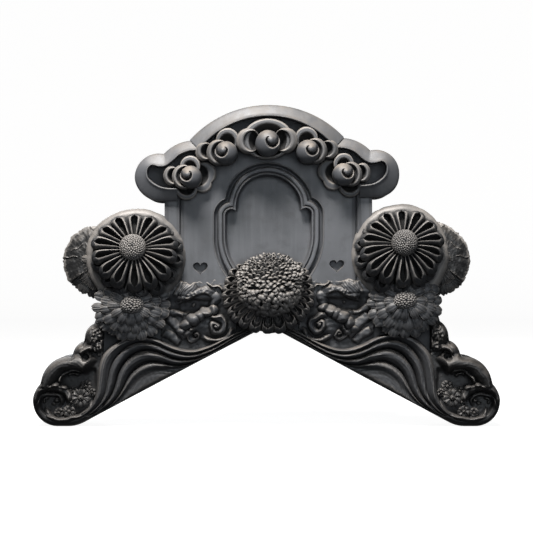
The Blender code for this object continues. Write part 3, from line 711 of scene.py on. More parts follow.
def side_flower(side):
    """The flower behind each great one: three tiers of broad, finely veined petals, pressed and broken above."""
    clay = Clay("side_flower", 50, side)
    rng = np.random.default_rng(40 + side)
    centre = (side * SIDE[0], SIDE[1])
    plans = ((30, 24.5, 8.8, 94, 18, -114), (18, 23, 8.4, 101, 15, -106), (7, 20, 7.2, 106, 12, -98))
    for inner, length, width, level, count, first in plans:
        for j in range(count):
            turn = first + (130 - first) * j / (count - 1) + rng.normal(0, 2.2)
            one = leaf(length * (1 + rng.normal(0, 0.03)), width * (1 + rng.normal(0, 0.1)), rng.choice([6, 7, 8]),
                       notch=rng.choice([0.0, 0.2, 0.4]), base=0.55, bow=2.4, cup=rng.uniform(0.2, 2.6),
                       seed=int(rng.integers(1 << 30)), deep=0.36, across=29, thick=4)
            turned = ringed(one + (0, inner, 0), [turn if side > 0 else 180 - turn])
            clay.shell(about(turned + (0, 0, rng.normal(0, 1.1)), centre, level, 2))
    clay.shell(about(revolved([(38, -36), (48, -34), (48, -5), (40, -2), (10, 0)], 72), centre, 92))
    turn, out = np.linspace(-38, 112, 90)[:, None], np.linspace(0.12, 1, 40)[None]
    reach = 54 + 0.8 * rough(turn, 0 * turn, 21, 4 + side) + 0.5 * rough(turn, 0 * turn, 6, 5)
    ends = window(turn, -38, 5, 112, 4)
    px, py = reach * out * np.cos(np.radians(turn)), reach * out * np.sin(np.radians(turn))
    height = 14 - 10 * out**3 + 0.5 * rough(px, py, 16, 7) + 0.22 * rough(px, py, 5, 8)
    for cx, cy, sway in ((8, 46, 0.7), (34, 20, -0.6), (44, 6, -0.2)):
        crack = np.abs((py - cy) - sway * (px - cx) - 1.2 * rough(px, 0 * py, 9, 11))
        height = height + 1.6 * smooth(1 - crack / 1.1) * smooth((14 - np.hypot(px - cx, py - cy)) / 6)
    clay.shell(about(sheet(side * px, py, height * ends, -6), centre, 94))
    return clay.build(smoked_clay("smoked_clay_side_flower", overall_darkening=0.9))


def crown_flower():
    """The full chrysanthemum at the foot of the panel: a dome of hooked florets in a ring of spoons."""
    clay = Clay("crown_chrysanthemum", 50)
    rng = np.random.default_rng(77)
    spreads = (0, 18.5, 36.5, 52, 65, 76.5, 87.5, 98.5, 110, 122, 133)
    wides = (18.5, 18.5, 17, 14.5, 12, 11, 11, 11.5, 12, 12, 11)
    for spread, wide in zip(spreads, wides):
        for way in (-1, 1) if spread else (1,):
            for out, level, turn, slot in ((67, 121, 0, 0.8), (63, 113, wide / 2, 0.74), (57, 124, 0, 0.7)):
                rise = ((0, 5), (1, -3)) if turn else ((0, 9), (0.4, 7), (0.8, 5), (1, 1))
                share = math.radians(wide) / 2 * (0.98 if out > 60 else 0.62)
                petal = spoon(34, out, share, slot, 9 if out > 60 else 5, rise, 12, steps=20, tip=0.3, blunt=1.4,
                              throat=0.6)
                angle = 270 + way * (spread + turn) + rng.normal(0, 0.7)
                short = 0.075 * math.cos(math.radians(min(spread, 90))) ** 2
                placed = ringed(petal, [angle], [1 - short + rng.normal(0, 0.012)], [rng.normal(0, 0.6)], 5)
                clay.shell(about(placed, CROWN, level, 24))
    clay.shell(about(revolved([(40, -36), (48, -33), (50, -8), (30, 0)], 96), CROWN, 121, 24))
    dome, radii = np.array((2.5, 207, 126)), np.array((47, 47, 39))
    clay.shell(ball(radii - 7, 56, 32) + dome)
    clay.shell(ball((46, 26, 27), 56, 24) + dome + (0, 11, 0))
    seeds = lattice(700, 0.02, rng)
    for out in seeds[seeds[:, 2] > -0.1]:
        low = 0.5 - 0.5 * out[1]
        if rng.uniform() < 0.12 * smooth((low - 0.45) / 0.3):
            continue
        size = 0.56 + 0.62 * low + rng.normal(0, 0.06)
        one = floret(4.3 * size, 5.2 * size, rng.uniform(55, 100) + 40 * smooth((low - 0.5) / 0.3))
        down = np.array((out[0] * 0.5, -1.0 + 1.3 * (out[1] < -0.45) * low, 0.0)) + rng.normal(0, 0.4, 3)
        down -= out * (down @ out)
        down /= np.linalg.norm(down)
        across = np.cross(down, out)
        wider = (1 + 0.13 * smooth(out[1] / 0.4), 1, 1)
        spot = dome + out * (radii - 4) * wider - down * 2.4 * size
        clay.shell(spot + across * one[..., :1] + down * one[..., 1:2] + out * one[..., 2:])
    return clay.build(smoked_clay("smoked_clay_crown_flower", overall_darkening=0.3, dust_and_top_light_share=0.8, edge_wear_and_highlight=1.8), broad=0.6)


def floret(half_width, reach, turn):
    """A hooked petal: an arched strip that stands out of the dome and curls over through turn degrees.

    Its path is an arc, reach (1 - cos) over and 1.3 reach sin out; across it the strip is an arch with a hollow.
    """
    bend = np.radians(np.linspace(0, turn, 5))
    path = rows(0, reach * (1 - np.cos(bend)), 1.3 * reach * np.sin(bend))
    inward = rows(0, np.cos(bend), -np.sin(bend)) * half_width / 4
    wide = half_width * np.array([0.7, 0.95, 1.08, 1.05, 0.72])
    half = ((0, 0), (0.62, 0.5), (0.98, 2.2), (1.06, 4.2), (0.8, 4.0), (0.62, 1.9), (0, 1.3))
    return mirrored(np.stack([path + rows(wide * s, 0, 0) + inward * d for s, d in half], 1))


# ---------------------------------------------------------------- clouds

def reach_of(shapes, origin, angle):
    """How far a ray from origin goes before it leaves the union of ellipses (x, y, half width, half height)."""
    far = 0
    for x, y, wide, tall in shapes:
        dx, dy = np.cos(angle) / wide, np.sin(angle) / tall
        ox, oy = (origin[0] - x) / wide, (origin[1] - y) / tall
        a, b, c = dx**2 + dy**2, ox * dx + oy * dy, ox**2 + oy**2 - 1
        far = np.maximum(far, (-b + np.sqrt(np.maximum(b * b - a * c, 0))) / a)
    return far


def cloud_ball(centre, radii, side, level, dome):
    """A ball of cloud with a curl cut into it, on a straight-sided stalk.

    In polar steps its height is half an ellipse, less a rounded groove whose depth falls off with the distance to
    a comma: it starts beside the eye on the inner side, goes under it and rises on the outer side, ever wider.
    """
    rho = np.sin(np.linspace(0.01, 1, 64) * math.pi / 2)[::-1][:, None]
    a = around(112)[None]
    x, y = rho * np.cos(a), rho * np.sin(a)
    comma = curve([(0.06, 0.46), (-0.05, 0.36), (-0.08, 0.14), (0.1, -0.13), (0.42, -0.22), (0.7, -0.06),
                   (0.83, 0.22), (0.85, 0.5), (0.8, 0.85)], 80)
    t, stops = np.linspace(0, 1, len(comma)), (0, 0.12, 0.35, 0.6, 1)
    reach, depth = np.interp(t, stops, (0.04, 0.07, 0.11, 0.11, 0.07)), np.interp(t, stops, (1, 6, 9, 8, 2))
    gap = np.hypot(x[..., None] - comma[:, 0], y[..., None] - comma[:, 1]) / reach
    cut = (depth * np.exp(-(np.clip(gap, 0, 9) ** 2.2))).max(-1)
    eye = 2.4 * np.exp(-(((x - 0.36) / 0.3) ** 2) - ((y - 0.24) / 0.32) ** 2)
    top = dome * np.sqrt(np.maximum(1 - rho**2, 0)) - cut + eye * (1 - rho**4)
    cap = rows(centre[0] * side + side * radii[0] * x, centre[1] + radii[1] * y, level + top)
    foot = rows(cap[0, :, 0], cap[0, :, 1], FLOOR - 8)
    return np.concatenate([foot[None], cap])


# Shares of height from an edge (1) to a lip (0), round and flat, and of depth inside the lip (1) to its middle (0).
ROUND = np.array([(1, 0), (0.985, 0.25), (0.95, 0.45), (0.88, 0.63), (0.76, 0.79), (0.6, 0.91), (0.42, 0.98), (0.25, 1),
                  (0.12, 0.98), (0.04, 0.93), (0, 0.88)])
FLAT = np.array([(1, 0), (0.985, 0.3), (0.95, 0.55), (0.87, 0.78), (0.74, 0.92), (0.58, 0.98), (0.4, 1), (0.22, 0.99),
                 (0.1, 0.94), (0.03, 0.82), (0, 0.7)])
SCOOP = np.array([(1, 0), (0.98, 0.07), (0.94, 0.18), (0.88, 0.33), (0.8, 0.5), (0.68, 0.7), (0.5, 0.87), (0.3, 0.97),
                  (0.02, 1)])


def lobe(shapes, lip, side, crest, edge, scoop, across, line):
    """A lobe of cloud: a band between its outline and its lip, scooped inside the lip.

    Rays leave the lip's centre. The band's height is read off a table by the share of the way from the lip to the
    outline, the scoop's off SCOOP by the share of the lip; a fine line runs along the band.
    """
    a = around(96)[None]
    outline = reach_of(shapes, lip, a)
    inner = np.minimum(reach_of([lip], lip, a), outline - 1.5)
    share = across[:, :1]
    band = inner + (outline - inner) * share
    fine = line * np.exp(-(((share - 0.6) / 0.05) ** 2))
    z_band = crest - edge * (1 - across[:, 1:]) - fine + 0 * a
    z_lip = crest - edge * (1 - across[-1, 1])
    pit = inner * SCOOP[1:, :1]
    z_pit = z_lip - scoop * SCOOP[1:, 1:] + 0 * a
    radius = np.concatenate([outline, band, pit])
    level = np.concatenate([0 * a + FLOOR - 8, z_band, z_pit])
    return rows(side * (lip[0] + radius * np.cos(a)), lip[1] + radius * np.sin(a), level)


# Each lobe: its ellipses, its lip, then crest, edge, scoop, the band's table and its line. The inner cloud, then the
# outer one; the last of each is the ball's centre, radii, level and dome.
CLOUDS = (
    (([(27.2, 414.3, 17.8, 18.6)], (19.4, 414.2, 14.2, 14.4), 136, 14, 15, ROUND, 0.3),
     ([(56.9, 417, 16.6, 17)], (57.2, 412.6, 11.4, 12.8), 128, 6, 13, FLAT, 0.5),
     ([(90.7, 400.8, 13.2, 13.8)], (85.6, 401, 9.6, 10.2), 128, 11, 12, ROUND, 0.3),
     ([(70.3, 398.6, 17, 18.8)], (65.6, 398.8, 14, 15), 134, 14, 12, ROUND, 0.3),
     ((58.8, 397), (16.6, 17), 135, 15)),
    (([(89.4, 369.3, 16.5, 16.3), (93.9, 354.6, 13.6, 13.2)], (99.4, 366.8, 14.8, 15.2), 117, 6, 10, FLAT, 0.3),
     ([(118.2, 346.8, 16, 15.4)], (118.2, 351.5, 12.6, 13.2), 119, 6, 9, FLAT, 0.3),
     ([(110.7, 380, 14.8, 15)], (111, 376.4, 9.8, 11.2), 126, 6, 12, FLAT, 0.5),
     ([(138.2, 366.3, 11.6, 14.2)], (134.6, 366.5, 8.6, 10.4), 128, 11, 12, ROUND, 0.3),
     ([(121, 364.3, 16.4, 18)], (117, 364.6, 13.4, 14.6), 133, 14, 12, ROUND, 0.3),
     ((109.8, 363.6), (15.8, 16.2), 134, 14.5)),
)


def clouds():
    """Five curled clouds: each a ball with a curl, crowned by an arc, with rolls that overlap outwards."""
    clay = Clay("cloud_scrolls", 55)
    clay.shell(lobe([(1.2, 417, 36.5, 29.4)], (1.2, 414.5, 27, 24), 1, 131, 7, 15, FLAT, 0.5))
    for side in (-1, 1):
        for *lobes, (centre, radii, level, dome) in CLOUDS:
            for shapes, lip, *form in lobes:
                clay.shell(lobe(shapes, lip, side, *form))
            clay.shell(cloud_ball(centre, radii, side, level, dome))
    clay.shell(cloud_ball((1.2, 409.8), (17.9, 19.2), 1, 138, 15))
    return clay.build(smoked_clay("smoked_clay_clouds", hollow_shade_strength=0.6))


# ---------------------------------------------------------------- water, feet and leaves

STREAMS = (
    ((22, 148), (48, 137), (80, 121), (108, 113), (134, 118), (165, 132), (192, 133.5), (216, 127.5), (236, 110),
     (244, 90), (246.5, 68), (249, 48), (257, 30), (271, 17.5), (286, 13)),
    ((23, 144), (49, 131.5), (80, 114.5), (108, 106), (134, 109.5), (162, 122), (185, 125), (205, 117), (219, 102),
     (227, 85), (231, 67), (235, 48), (244, 32), (259, 19), (277, 12)),
    ((24, 140), (51, 126), (81, 108), (108, 99), (133, 99.5), (158, 109.5), (177, 112.5), (195, 106), (208, 93),
     (216, 77), (220.5, 60), (227, 45), (237, 33), (251, 20.5), (269, 11)),
    ((26, 137), (54, 121.5), (84, 103), (109, 92.5), (131, 89), (152, 93), (169, 95), (184, 90), (196, 80), (203, 69),
     (209, 56), (216, 44), (228, 31), (245, 20), (264, 10)),
    ((28, 132), (57, 117), (87, 101), (111, 88), (131, 78), (150, 68), (166, 59), (180, 52), (190, 46), (197, 43),
     (204, 39), (213, 34), (226, 27), (243, 18), (261, 9)),
)


def streams(side):
    """Water running down a leg: a sheet between guide lines that crowd together towards the foot.

    Across it every band between two guides is an arch, f^0.55 up and (1 - f)^0.8 down, over the creases at the
    guides; the last band is a small arch and then flat to the seat. Fine waves follow the flow.
    """
    clay = Clay("streams", 60, side)
    rng = np.random.default_rng(60 + side)
    steps, share = 210, np.linspace(0, 1, 18, endpoint=False)
    guides = np.stack([curve(route, steps) for route in STREAMS])
    bands, levels = [], []
    t = np.linspace(0, 1, steps)[:, None]
    span = np.interp(t, (0, 0.15, 0.4, 0.6, 0.85, 1), (0.35, 0.75, 1, 1, 0.8, 0.3))
    crease = ((84, 102), (102, 92), (92, 90), (90, 84))
    for k, (crest, (above, below)) in enumerate(zip((113, 109, 104, 99), crease)):
        f = share[None]
        bands.append(guides[k][:, None] * (1 - f[..., None]) + guides[k + 1][:, None] * f[..., None])
        if k < 3:
            arch = (f**0.55 * (1 - f) ** 0.8) / 0.418
            level = (above * (1 - f) + below * f) * (1 - arch) + crest * arch
        else:
            level = np.interp(f, (0, 0.06, 0.14, 0.24, 0.36, 0.48, 0.8, 0.93, 1),
                              (90, 95.5, 98.5, 98, 94.5, 93, 93, 91, 84)) + 0 * t
        levels.append(LEG_FACE + (level - LEG_FACE) * np.where(level > LEG_FACE, span, 1))
    flat, level = np.concatenate(bands, 1), np.concatenate(levels, 1)
    across = np.cumsum(np.linalg.norm(np.diff(flat, axis=1, prepend=flat[:, :1]), axis=-1), 1)
    wave = 0
    for _ in range(7):
        size, drift = rng.uniform(3.2, 8), rng.normal(0, 3, 5)
        wave = wave + np.sin(TAU * across / size + np.interp(t, np.linspace(0, 1, 5), drift) + rng.uniform(0, TAU))
    level = level + 0.32 * wave / 7**0.5 * (level > 92) + 0.12 * rough(flat[..., 0], flat[..., 1], 6, 3)
    x, y = flat[..., 0], np.maximum(flat[..., 1], seat(flat[..., 0]) + 1.6)
    clay.shell(sheet(side * x, y, level, SHEET_BACK))
    return clay.build(smoked_clay("smoked_clay_water", streaks=0.4, overall_darkening=0.1))


# Ridges on a foot: route, reach above and below it, height and taper. The horn has a ribbed height of its own.
HORN_LINE = ((330, 50), (325, 62), (319.5, 70.5), (312.5, 78), (305, 85), (294.5, 91), (283, 93.5), (272, 93.5),
             (262, 91), (253, 85))
FOOT_RIDGES = (
    (((322, 30), (318, 21.5), (312.5, 14.8), (305, 11.5), (297, 10.9), (289, 12), (281, 14.5), (267, 19.6),
      (256.5, 28.7), (251, 40)), 2.6, 4.5, 7, 0.12),
    (((337, 28), (338, 38), (335.5, 46.5), (329, 53.5), (318, 57), (306, 57), (296, 53), (290, 46.5), (287.5, 38),
      (289, 29)), 6.6, 6.6, 17, 0.16),
    (((333, 24), (332, 35), (326, 44.5), (315, 47.6), (304, 46.5), (297.5, 41), (297, 34), (301, 28)),
     3.4, 3.4, 8, 0.2),
    (((322, 33), (323, 38.5), (320.5, 42), (316, 41)), 1.8, 1.8, 5, 0.2),
    (((302, 60), (300, 67), (297.5, 73.5), (290.5, 78.8), (282, 82.4), (274, 81.5), (266, 77)), 3.6, 2.4, 16, 0.16),
    (((290, 74), (284, 77.5), (278, 77), (273, 73.5)), 2, 2, 7, 0.2),
    (((271, 103), (268.5, 109), (263, 113.5), (256, 115.5), (249, 113)), 5, 4.5, 18, 0.2),
    (((252, 120), (248.5, 127), (250.5, 134), (248, 141)), 2.2, 2.2, 16, 0.2),
    (((241, 112), (240.5, 120), (238.5, 130)), 1.8, 1.8, 12, 0.2),
    (((257, 122), (254.5, 129), (257, 137)), 1.8, 1.8, 15, 0.2),
)
# Swells on a foot: place, half widths and height. The knobs of the cap, the two eyes, then the lobes.
FOOT_SWELLS = (
    ((318.5, 60.3), (6.6, 5), 18.5), ((306, 60.2), (7, 5.2), 19), ((294, 55.5), (6, 6), 17),
    ((304.5, 38.5), (4.4, 4), 7), ((309.5, 33.5), (3, 2.6), 4), ((262.5, 102), (9.5, 9), 15),
    ((270, 111), (13, 15), 13), ((253, 134), (13, 18), 14), ((246, 118), (9, 9), 11), ((244, 138), (8, 14), 13),
)
# Little flowers in a foot's hollow: x, y, radius, petals, level.
FOOT_FLOWERS = ((270, 42.5, 14, 9, 98), (287, 22.5, 9.5, 6, 96), (302, 20.5, 7.5, 5, 94), (263, 59, 9, 7, 94),
                (284, 36, 7.5, 6, 94), (281, 52, 7, 6, 93), (254, 50, 6.5, 6, 96))


def foot_edges(x):
    """The leg's lower and upper edge at each x from 236 outwards: seat, heel, sole and foot; foot, horn and lobes."""
    heel_x = 289.6
    heel = HEEL - np.sqrt(np.maximum(HEEL**2 - (x - heel_x) ** 2, 0))
    under = FOOT[1] - np.sqrt(np.maximum(FOOT[2] ** 2 - (x - FOOT[0]) ** 2, 0))
    bottom = np.select([x < 266, x < heel_x, x < FOOT[0]], [seat(x), heel, 0 * x], under)
    tops = [np.where(np.abs(x - cx) < r, cy + np.sqrt(np.maximum(r * r - (x - cx) ** 2, 0)), 0)
            for cx, cy, r in (FOOT, HORN, *LOBES)]
    return bottom, np.max(tops, 0)


def foot(side):
    """The foot: its hollowed curl with a knobbed cap and an eye, the horn over it, and the lobes above.

    One sheet inside the leg's outline, rounded down to it over 7 mm: the highest of its ridges, swells and curls,
    over a deck with a bowl and a hollow sunk in it. Little flowers stand in the hollow.
    """
    clay = Clay("foot_volute", 60, side)
    seed = 300 + side
    outline = leg_outline()
    outline = curve(outline[(outline[:, 0] > 228) & (outline[:, 1] < 170)], 620)
    u, v = np.linspace(0, 1, 132)[:, None], np.linspace(0, 1, 176)[None]
    x = 236 + 104.6 * (1 - (1 - u) ** 1.35) + 0 * v
    bottom, top = foot_edges(x)
    soft = top[:, :1].copy()
    for _ in range(60):
        soft[1:-1] = (soft[:-2] + 2 * soft[1:-1] + soft[2:]) / 4
    y = bottom + 0.6 + (soft + (top - soft) * v**8 - bottom - 1.0) * v
    gap = np.min(np.hypot(x[..., None] - outline[:, 0], y[..., None] - outline[:, 1]), -1)
    px, py = x + 0.7 * rough(x, y, 24, seed), y + 0.5 * rough(x, y, 21, seed + 7)

    far = np.hypot(px - 306, (py - 36) * 1.04)
    deck = 97 - 5.5 * window(px, 245, 6, 301, 8) * window(py, 14, 6, 88, 8)
    deck += swell(px, py, (270, 38), (20, 20), 5) - 6 * smooth((26 - far) / 5) * smooth((py - 12) / 6)
    hole = smooth((6.2 - np.hypot(px - 262.5, py - 102)) / 2.4)
    ribbed = 22 - 0.35 * np.sin(0.8 * np.hypot(px - HORN[0], py - HORN[1])) ** 2
    forms = [ridge(px, py, HORN_LINE, 15.5, 14, ribbed, 0.12)]
    forms += [ridge(px, py, *form) for form in FOOT_RIDGES] + [swell(px, py, *form) for form in FOOT_SWELLS]
    level = deck + np.max(forms, 0) - hole * 11 + 3.4 * swell(px, py, (264, 100), (2.6, 2.4), 1)
    leafy = smooth((py - 100) / 12) * smooth((257 - px) / 5)
    level = level + (0.1 + 1.2 * leafy) * rough(x, y, 6.5, seed + 2)
    held = np.sqrt(np.maximum(1 - (1 - np.clip((gap - 0.3) / 7, 0, 1)) ** 2, 0))
    level = SHEET_EDGE + (level - SHEET_EDGE) * held * smooth((x - 236) / 3)
    clay.shell(sheet(side * x, y, level, SHEET_BACK))
    for k, (cx, cy, radius, count, base) in enumerate(FOOT_FLOWERS):
        small_flower(clay, (side * cx, cy), base, radius, count, 100 + k + side)
    return clay.build(smoked_clay("smoked_clay_foot", overall_darkening=0.9))


def small_flower(clay, centre, base, radius, count, seed):
    """A little flower of cupped petals round a knot of beads."""
    rng = np.random.default_rng(seed)
    width = TAU * radius / count * 0.52
    for j in range(count):
        one = leaf(radius * 0.74, width, 2, notch=0.08, bow=2.2, cup=-1.2, thick=3, steps=8, across=9, seed=seed + j)
        turned = ringed(one + (0, radius * 0.28, 0), [360 * j / count + rng.normal(0, 5)])
        clay.shell(about(turned, centre, base + rng.normal(0, 0.7), rng.uniform(0, 14)))
    clay.shell(about(beaded((radius * 0.3, radius * 0.3, 4), 18, 1.0, 30, 12), centre, base + 3, 6))


def ridge(x, y, route, above, below, height, taper):
    """Height of a ridge on a sheet: (1 - d^2)^0.7 on the distance to a route, in its width above or below it."""
    line = curve(route, 70)
    way = np.gradient(line, axis=0)
    dx, dy = x[..., None] - line[:, 0], y[..., None] - line[:, 1]
    near = (dx**2 + dy**2).argmin(-1)[..., None]
    dx, dy = np.take_along_axis(dx, near, -1)[..., 0], np.take_along_axis(dy, near, -1)[..., 0]
    near = near[..., 0]
    step = np.maximum((way[near] ** 2).sum(-1), 1e-9)
    ahead = np.clip((way[near, 0] * dx + way[near, 1] * dy) / step, -0.5, 0.5)
    side_way = way[near, 0] * dy - way[near, 1] * dx
    over = side_way * np.sign(line[-1, 0] - line[0, 0]) > 0
    share = (near + ahead) / (len(line) - 1)
    held = window(share, 0, taper, 1, taper)
    far = np.sqrt(np.maximum(dx**2 + dy**2 - ahead**2 * step, 0)) / np.where(over, above, below)
    return height * held * np.maximum(1 - far**2, 0) ** 0.7


def swell(x, y, place, reach, height):
    """Half an ellipse over a round patch."""
    return height * np.sqrt(np.maximum(1 - ((x - place[0]) / reach[0]) ** 2 - ((y - place[1]) / reach[1]) ** 2, 0))


def scroll(x, y, eye, radius, turns, height, start, way):
    """A curled roll round an eye: a round ridge on a spiral whose reach shrinks with the turn, in a sunk pocket."""
    far, angle = np.hypot(x - eye[0], y - eye[1]), np.arctan2(y - eye[1], x - eye[0])
    best = np.zeros_like(far)
    for lap in range(int(turns) + 2):
        t = ((way * (angle - start) % TAU) / TAU + lap) / turns
        reach = radius * (0.86 - 0.7 * t)
        wide = radius * 0.32 * (1 - 0.5 * np.clip(t, 0, 1))
        roll_here = np.maximum(1 - ((far - reach) / wide) ** 2, 0) ** 0.5 * (t < 1)
        best = np.maximum(best, roll_here * smooth(t / 0.1) * (0.85 + 0.25 * t))
    knob = np.sqrt(np.maximum(1 - (far / (0.26 * radius)) ** 2, 0))
    return height * np.maximum(best, 1.1 * knob) - 4 * smooth((radius * 0.9 - far) / (0.25 * radius))


def rough(x, y, size, seed):
    """Uneven texture about one size: the mean of sines along random directions."""
    rng = np.random.default_rng(seed)
    total = 0
    for _ in range(14):
        turn, wave, phase = rng.uniform(0, TAU), TAU / size * rng.uniform(0.7, 1.5), rng.uniform(0, TAU)
        total = total + np.sin(wave * (x * math.cos(turn) + y * math.sin(turn)) + phase)
    return total / 14**0.5


# What is carved in the bank: swells as place, half widths and height; scrolls as eye, radius, turns, height, start and
# way; ridges as route, reach above and below it, height and taper.
BANK_SWELLS = (
    ((109, 158.5), (11, 9.5), 15), ((99.5, 163.5), (8.5, 8), 14), ((91, 169), (10, 8), 14.5),
    ((118.5, 150), (9.5, 8.5), 12.5), ((81, 172), (8.5, 6.5), 12), ((126, 141), (7, 6), 9), ((117, 137), (7, 6), 9),
    ((109.4, 179), (2.4, 2.2), 4),
)
BANK_SCROLLS = (((75, 147), 17.5, 1.35, 12, math.radians(35), 1), ((105, 134), 12, 1.3, 10, math.radians(100), -1))
LEAF_LINE = ((136, 182), (121, 186), (114, 189.5), (106, 194), (98, 197), (87, 195.5), (79, 190))
BANK_RIDGES = (
    (((95, 134), (86, 128.5), (75, 125.5), (63, 128), (55, 135), (50, 145)), 3.4, 3.8, 9, 0.2),
    (((88, 172), (80, 179), (76, 188), (82, 199)), 7, 6, 4, 0.3),
    (((64, 197), (70, 204), (76, 206), (82, 206), (91, 210)), 2.2, 1.6, 6, 0.2),
    (((127, 216), (130, 203), (137, 190)), 3.4, 3, 3.4, 0.2),
    (((120, 216), (122, 206), (128, 196)), 2.8, 2.4, 2.6, 0.2),
    (((118, 128), (133, 146), (150, 160)), 10, 5, 5, 0.1), (((128, 121), (139, 132), (152, 139)), 7, 5, 4, 0.1),
    (((122, 164), (136, 166), (152, 174)), 6, 3, 4.5, 0.1),
)


def foliage(side):
    """The carved bank beside the crown flower: leaf scrolls, cloud-like swells, a twig and a veined leaf.

    One sheet over x and y: a bank that falls from the panel to the legs, under the highest of its swells, ridges and
    scrolls, and roughened all over.
    """
    clay = Clay("foliage", 60, side)
    u, v = np.linspace(0, 1, 150)[None], np.linspace(0, 1, 150)[:, None]
    x = 44 + 112 * u + 0 * v
    lower = np.interp(x, *np.array(STREAMS[0][:7]).T) - 12
    y = lower + (218 - lower) * v
    seed = 30 + side
    px, py = x + 1.1 * rough(x, y, 26, seed), y + 1.1 * rough(x, y, 22, seed + 7)
    bank = 95 + 10 * smooth((py - 156) / 40) - 4 * smooth((148 - py) / 30)
    bank += 3.6 * smooth((px - 98) / 16) * smooth((py - 184) / 12)
    bank -= 6 * window(px, 78, 10, 140, 12) * window(py, 166, 7, 190, 5)
    bank += 7 * smooth(1.1 - np.hypot((px - 94) / 36, (py - 151) / 24))
    veins = np.abs(np.sin((0.75 * px + 0.66 * py) * 0.95)) ** 3
    leafy = swell(px, py, (117, 200), (17, 11), 5)
    forms = [leafy - 0.6 * veins * (leafy > 0), ridge(px, py, LEAF_LINE, 9, 2.4, 6.5 + 0.9 * rough(px, py, 6, 3), 0.2)]
    for kind, places in ((swell, BANK_SWELLS), (scroll, BANK_SCROLLS), (ridge, BANK_RIDGES)):
        forms += [kind(px, py, *place) for place in places]
    level = bank + np.max(forms, 0)
    level = level + 0.22 * rough(x, y, 9, seed + 2) + 0.03 * rough(x, y, 2.6, seed + 4)
    ragged = 214 + 2.5 * rough(x, 0 * y, 14, seed + 5)
    held = window(x, 44, 2, 156, 2) * window(y, lower, 3, ragged, 3)
    clay.shell(sheet(side * x, y, SHEET_EDGE + (level - SHEET_EDGE) * held, 80.0))
    return clay.build(smoked_clay("smoked_clay_foliage"))


# ---------------------------------------------------------------- finish

class Value:
    """A shader socket with arithmetic: an expression on it adds the Math nodes it needs."""

    def __init__(self, tree, socket):
        self.tree, self.socket = tree, socket

    def node(self, kind, settings=None, **links):
        """A new node. A link named _3 goes to input 3, any other to the input of that name."""
        made = self.tree.nodes.new(kind)
        for name, setting in (settings or {}).items():
            setattr(made, name, setting)
        for name, value in links.items():
            target = made.inputs[int(name[1:]) if name[0] == "_" else name.replace("_", " ")]
            if isinstance(value, Value):
                self.tree.links.new(value.socket, target)
            else:
                target.default_value = value
        return made

    def out(self, made, name=0):
        return Value(self.tree, made.outputs[name])

    def math(self, operation, one, other, clamp=False):
        return self.out(self.node("ShaderNodeMath", {"operation": operation, "use_clamp": clamp}, _0=one, _1=other))

    def __add__(self, other): return self.math("ADD", self, other)
    def __sub__(self, other): return self.math("SUBTRACT", self, other)
    def __rsub__(self, other): return self.math("SUBTRACT", other, self)
    def __mul__(self, other): return self.math("MULTIPLY", self, other)
    __radd__, __rmul__ = __add__, __mul__

    def held(self):
        """Kept between 0 and 1."""
        return self.math("ADD", self, 0.0, clamp=True)

    def ramp(self, low, high):
        """0 below low and 1 above high, eased."""
        eased = {"interpolation_type": "SMOOTHSTEP"}
        return self.out(self.node("ShaderNodeMapRange", eased, Value=self, From_Min=low, From_Max=high))

    def cover(self, share, under, over):
        """One colour covered by another to the given share."""
        return self.out(self.node("ShaderNodeMix", {"data_type": "RGBA"}, _0=share, _6=under, _7=over), 2)


def srgb(red, green, blue):
    """A colour given as it shows on a screen, 0 to 255, in linear light."""
    share = np.array((red, green, blue)) / 255
    linear = np.where(share <= 0.04045, share / 12.92, ((share + 0.055) / 1.055) ** 2.4)
    return (*linear, 1.0)


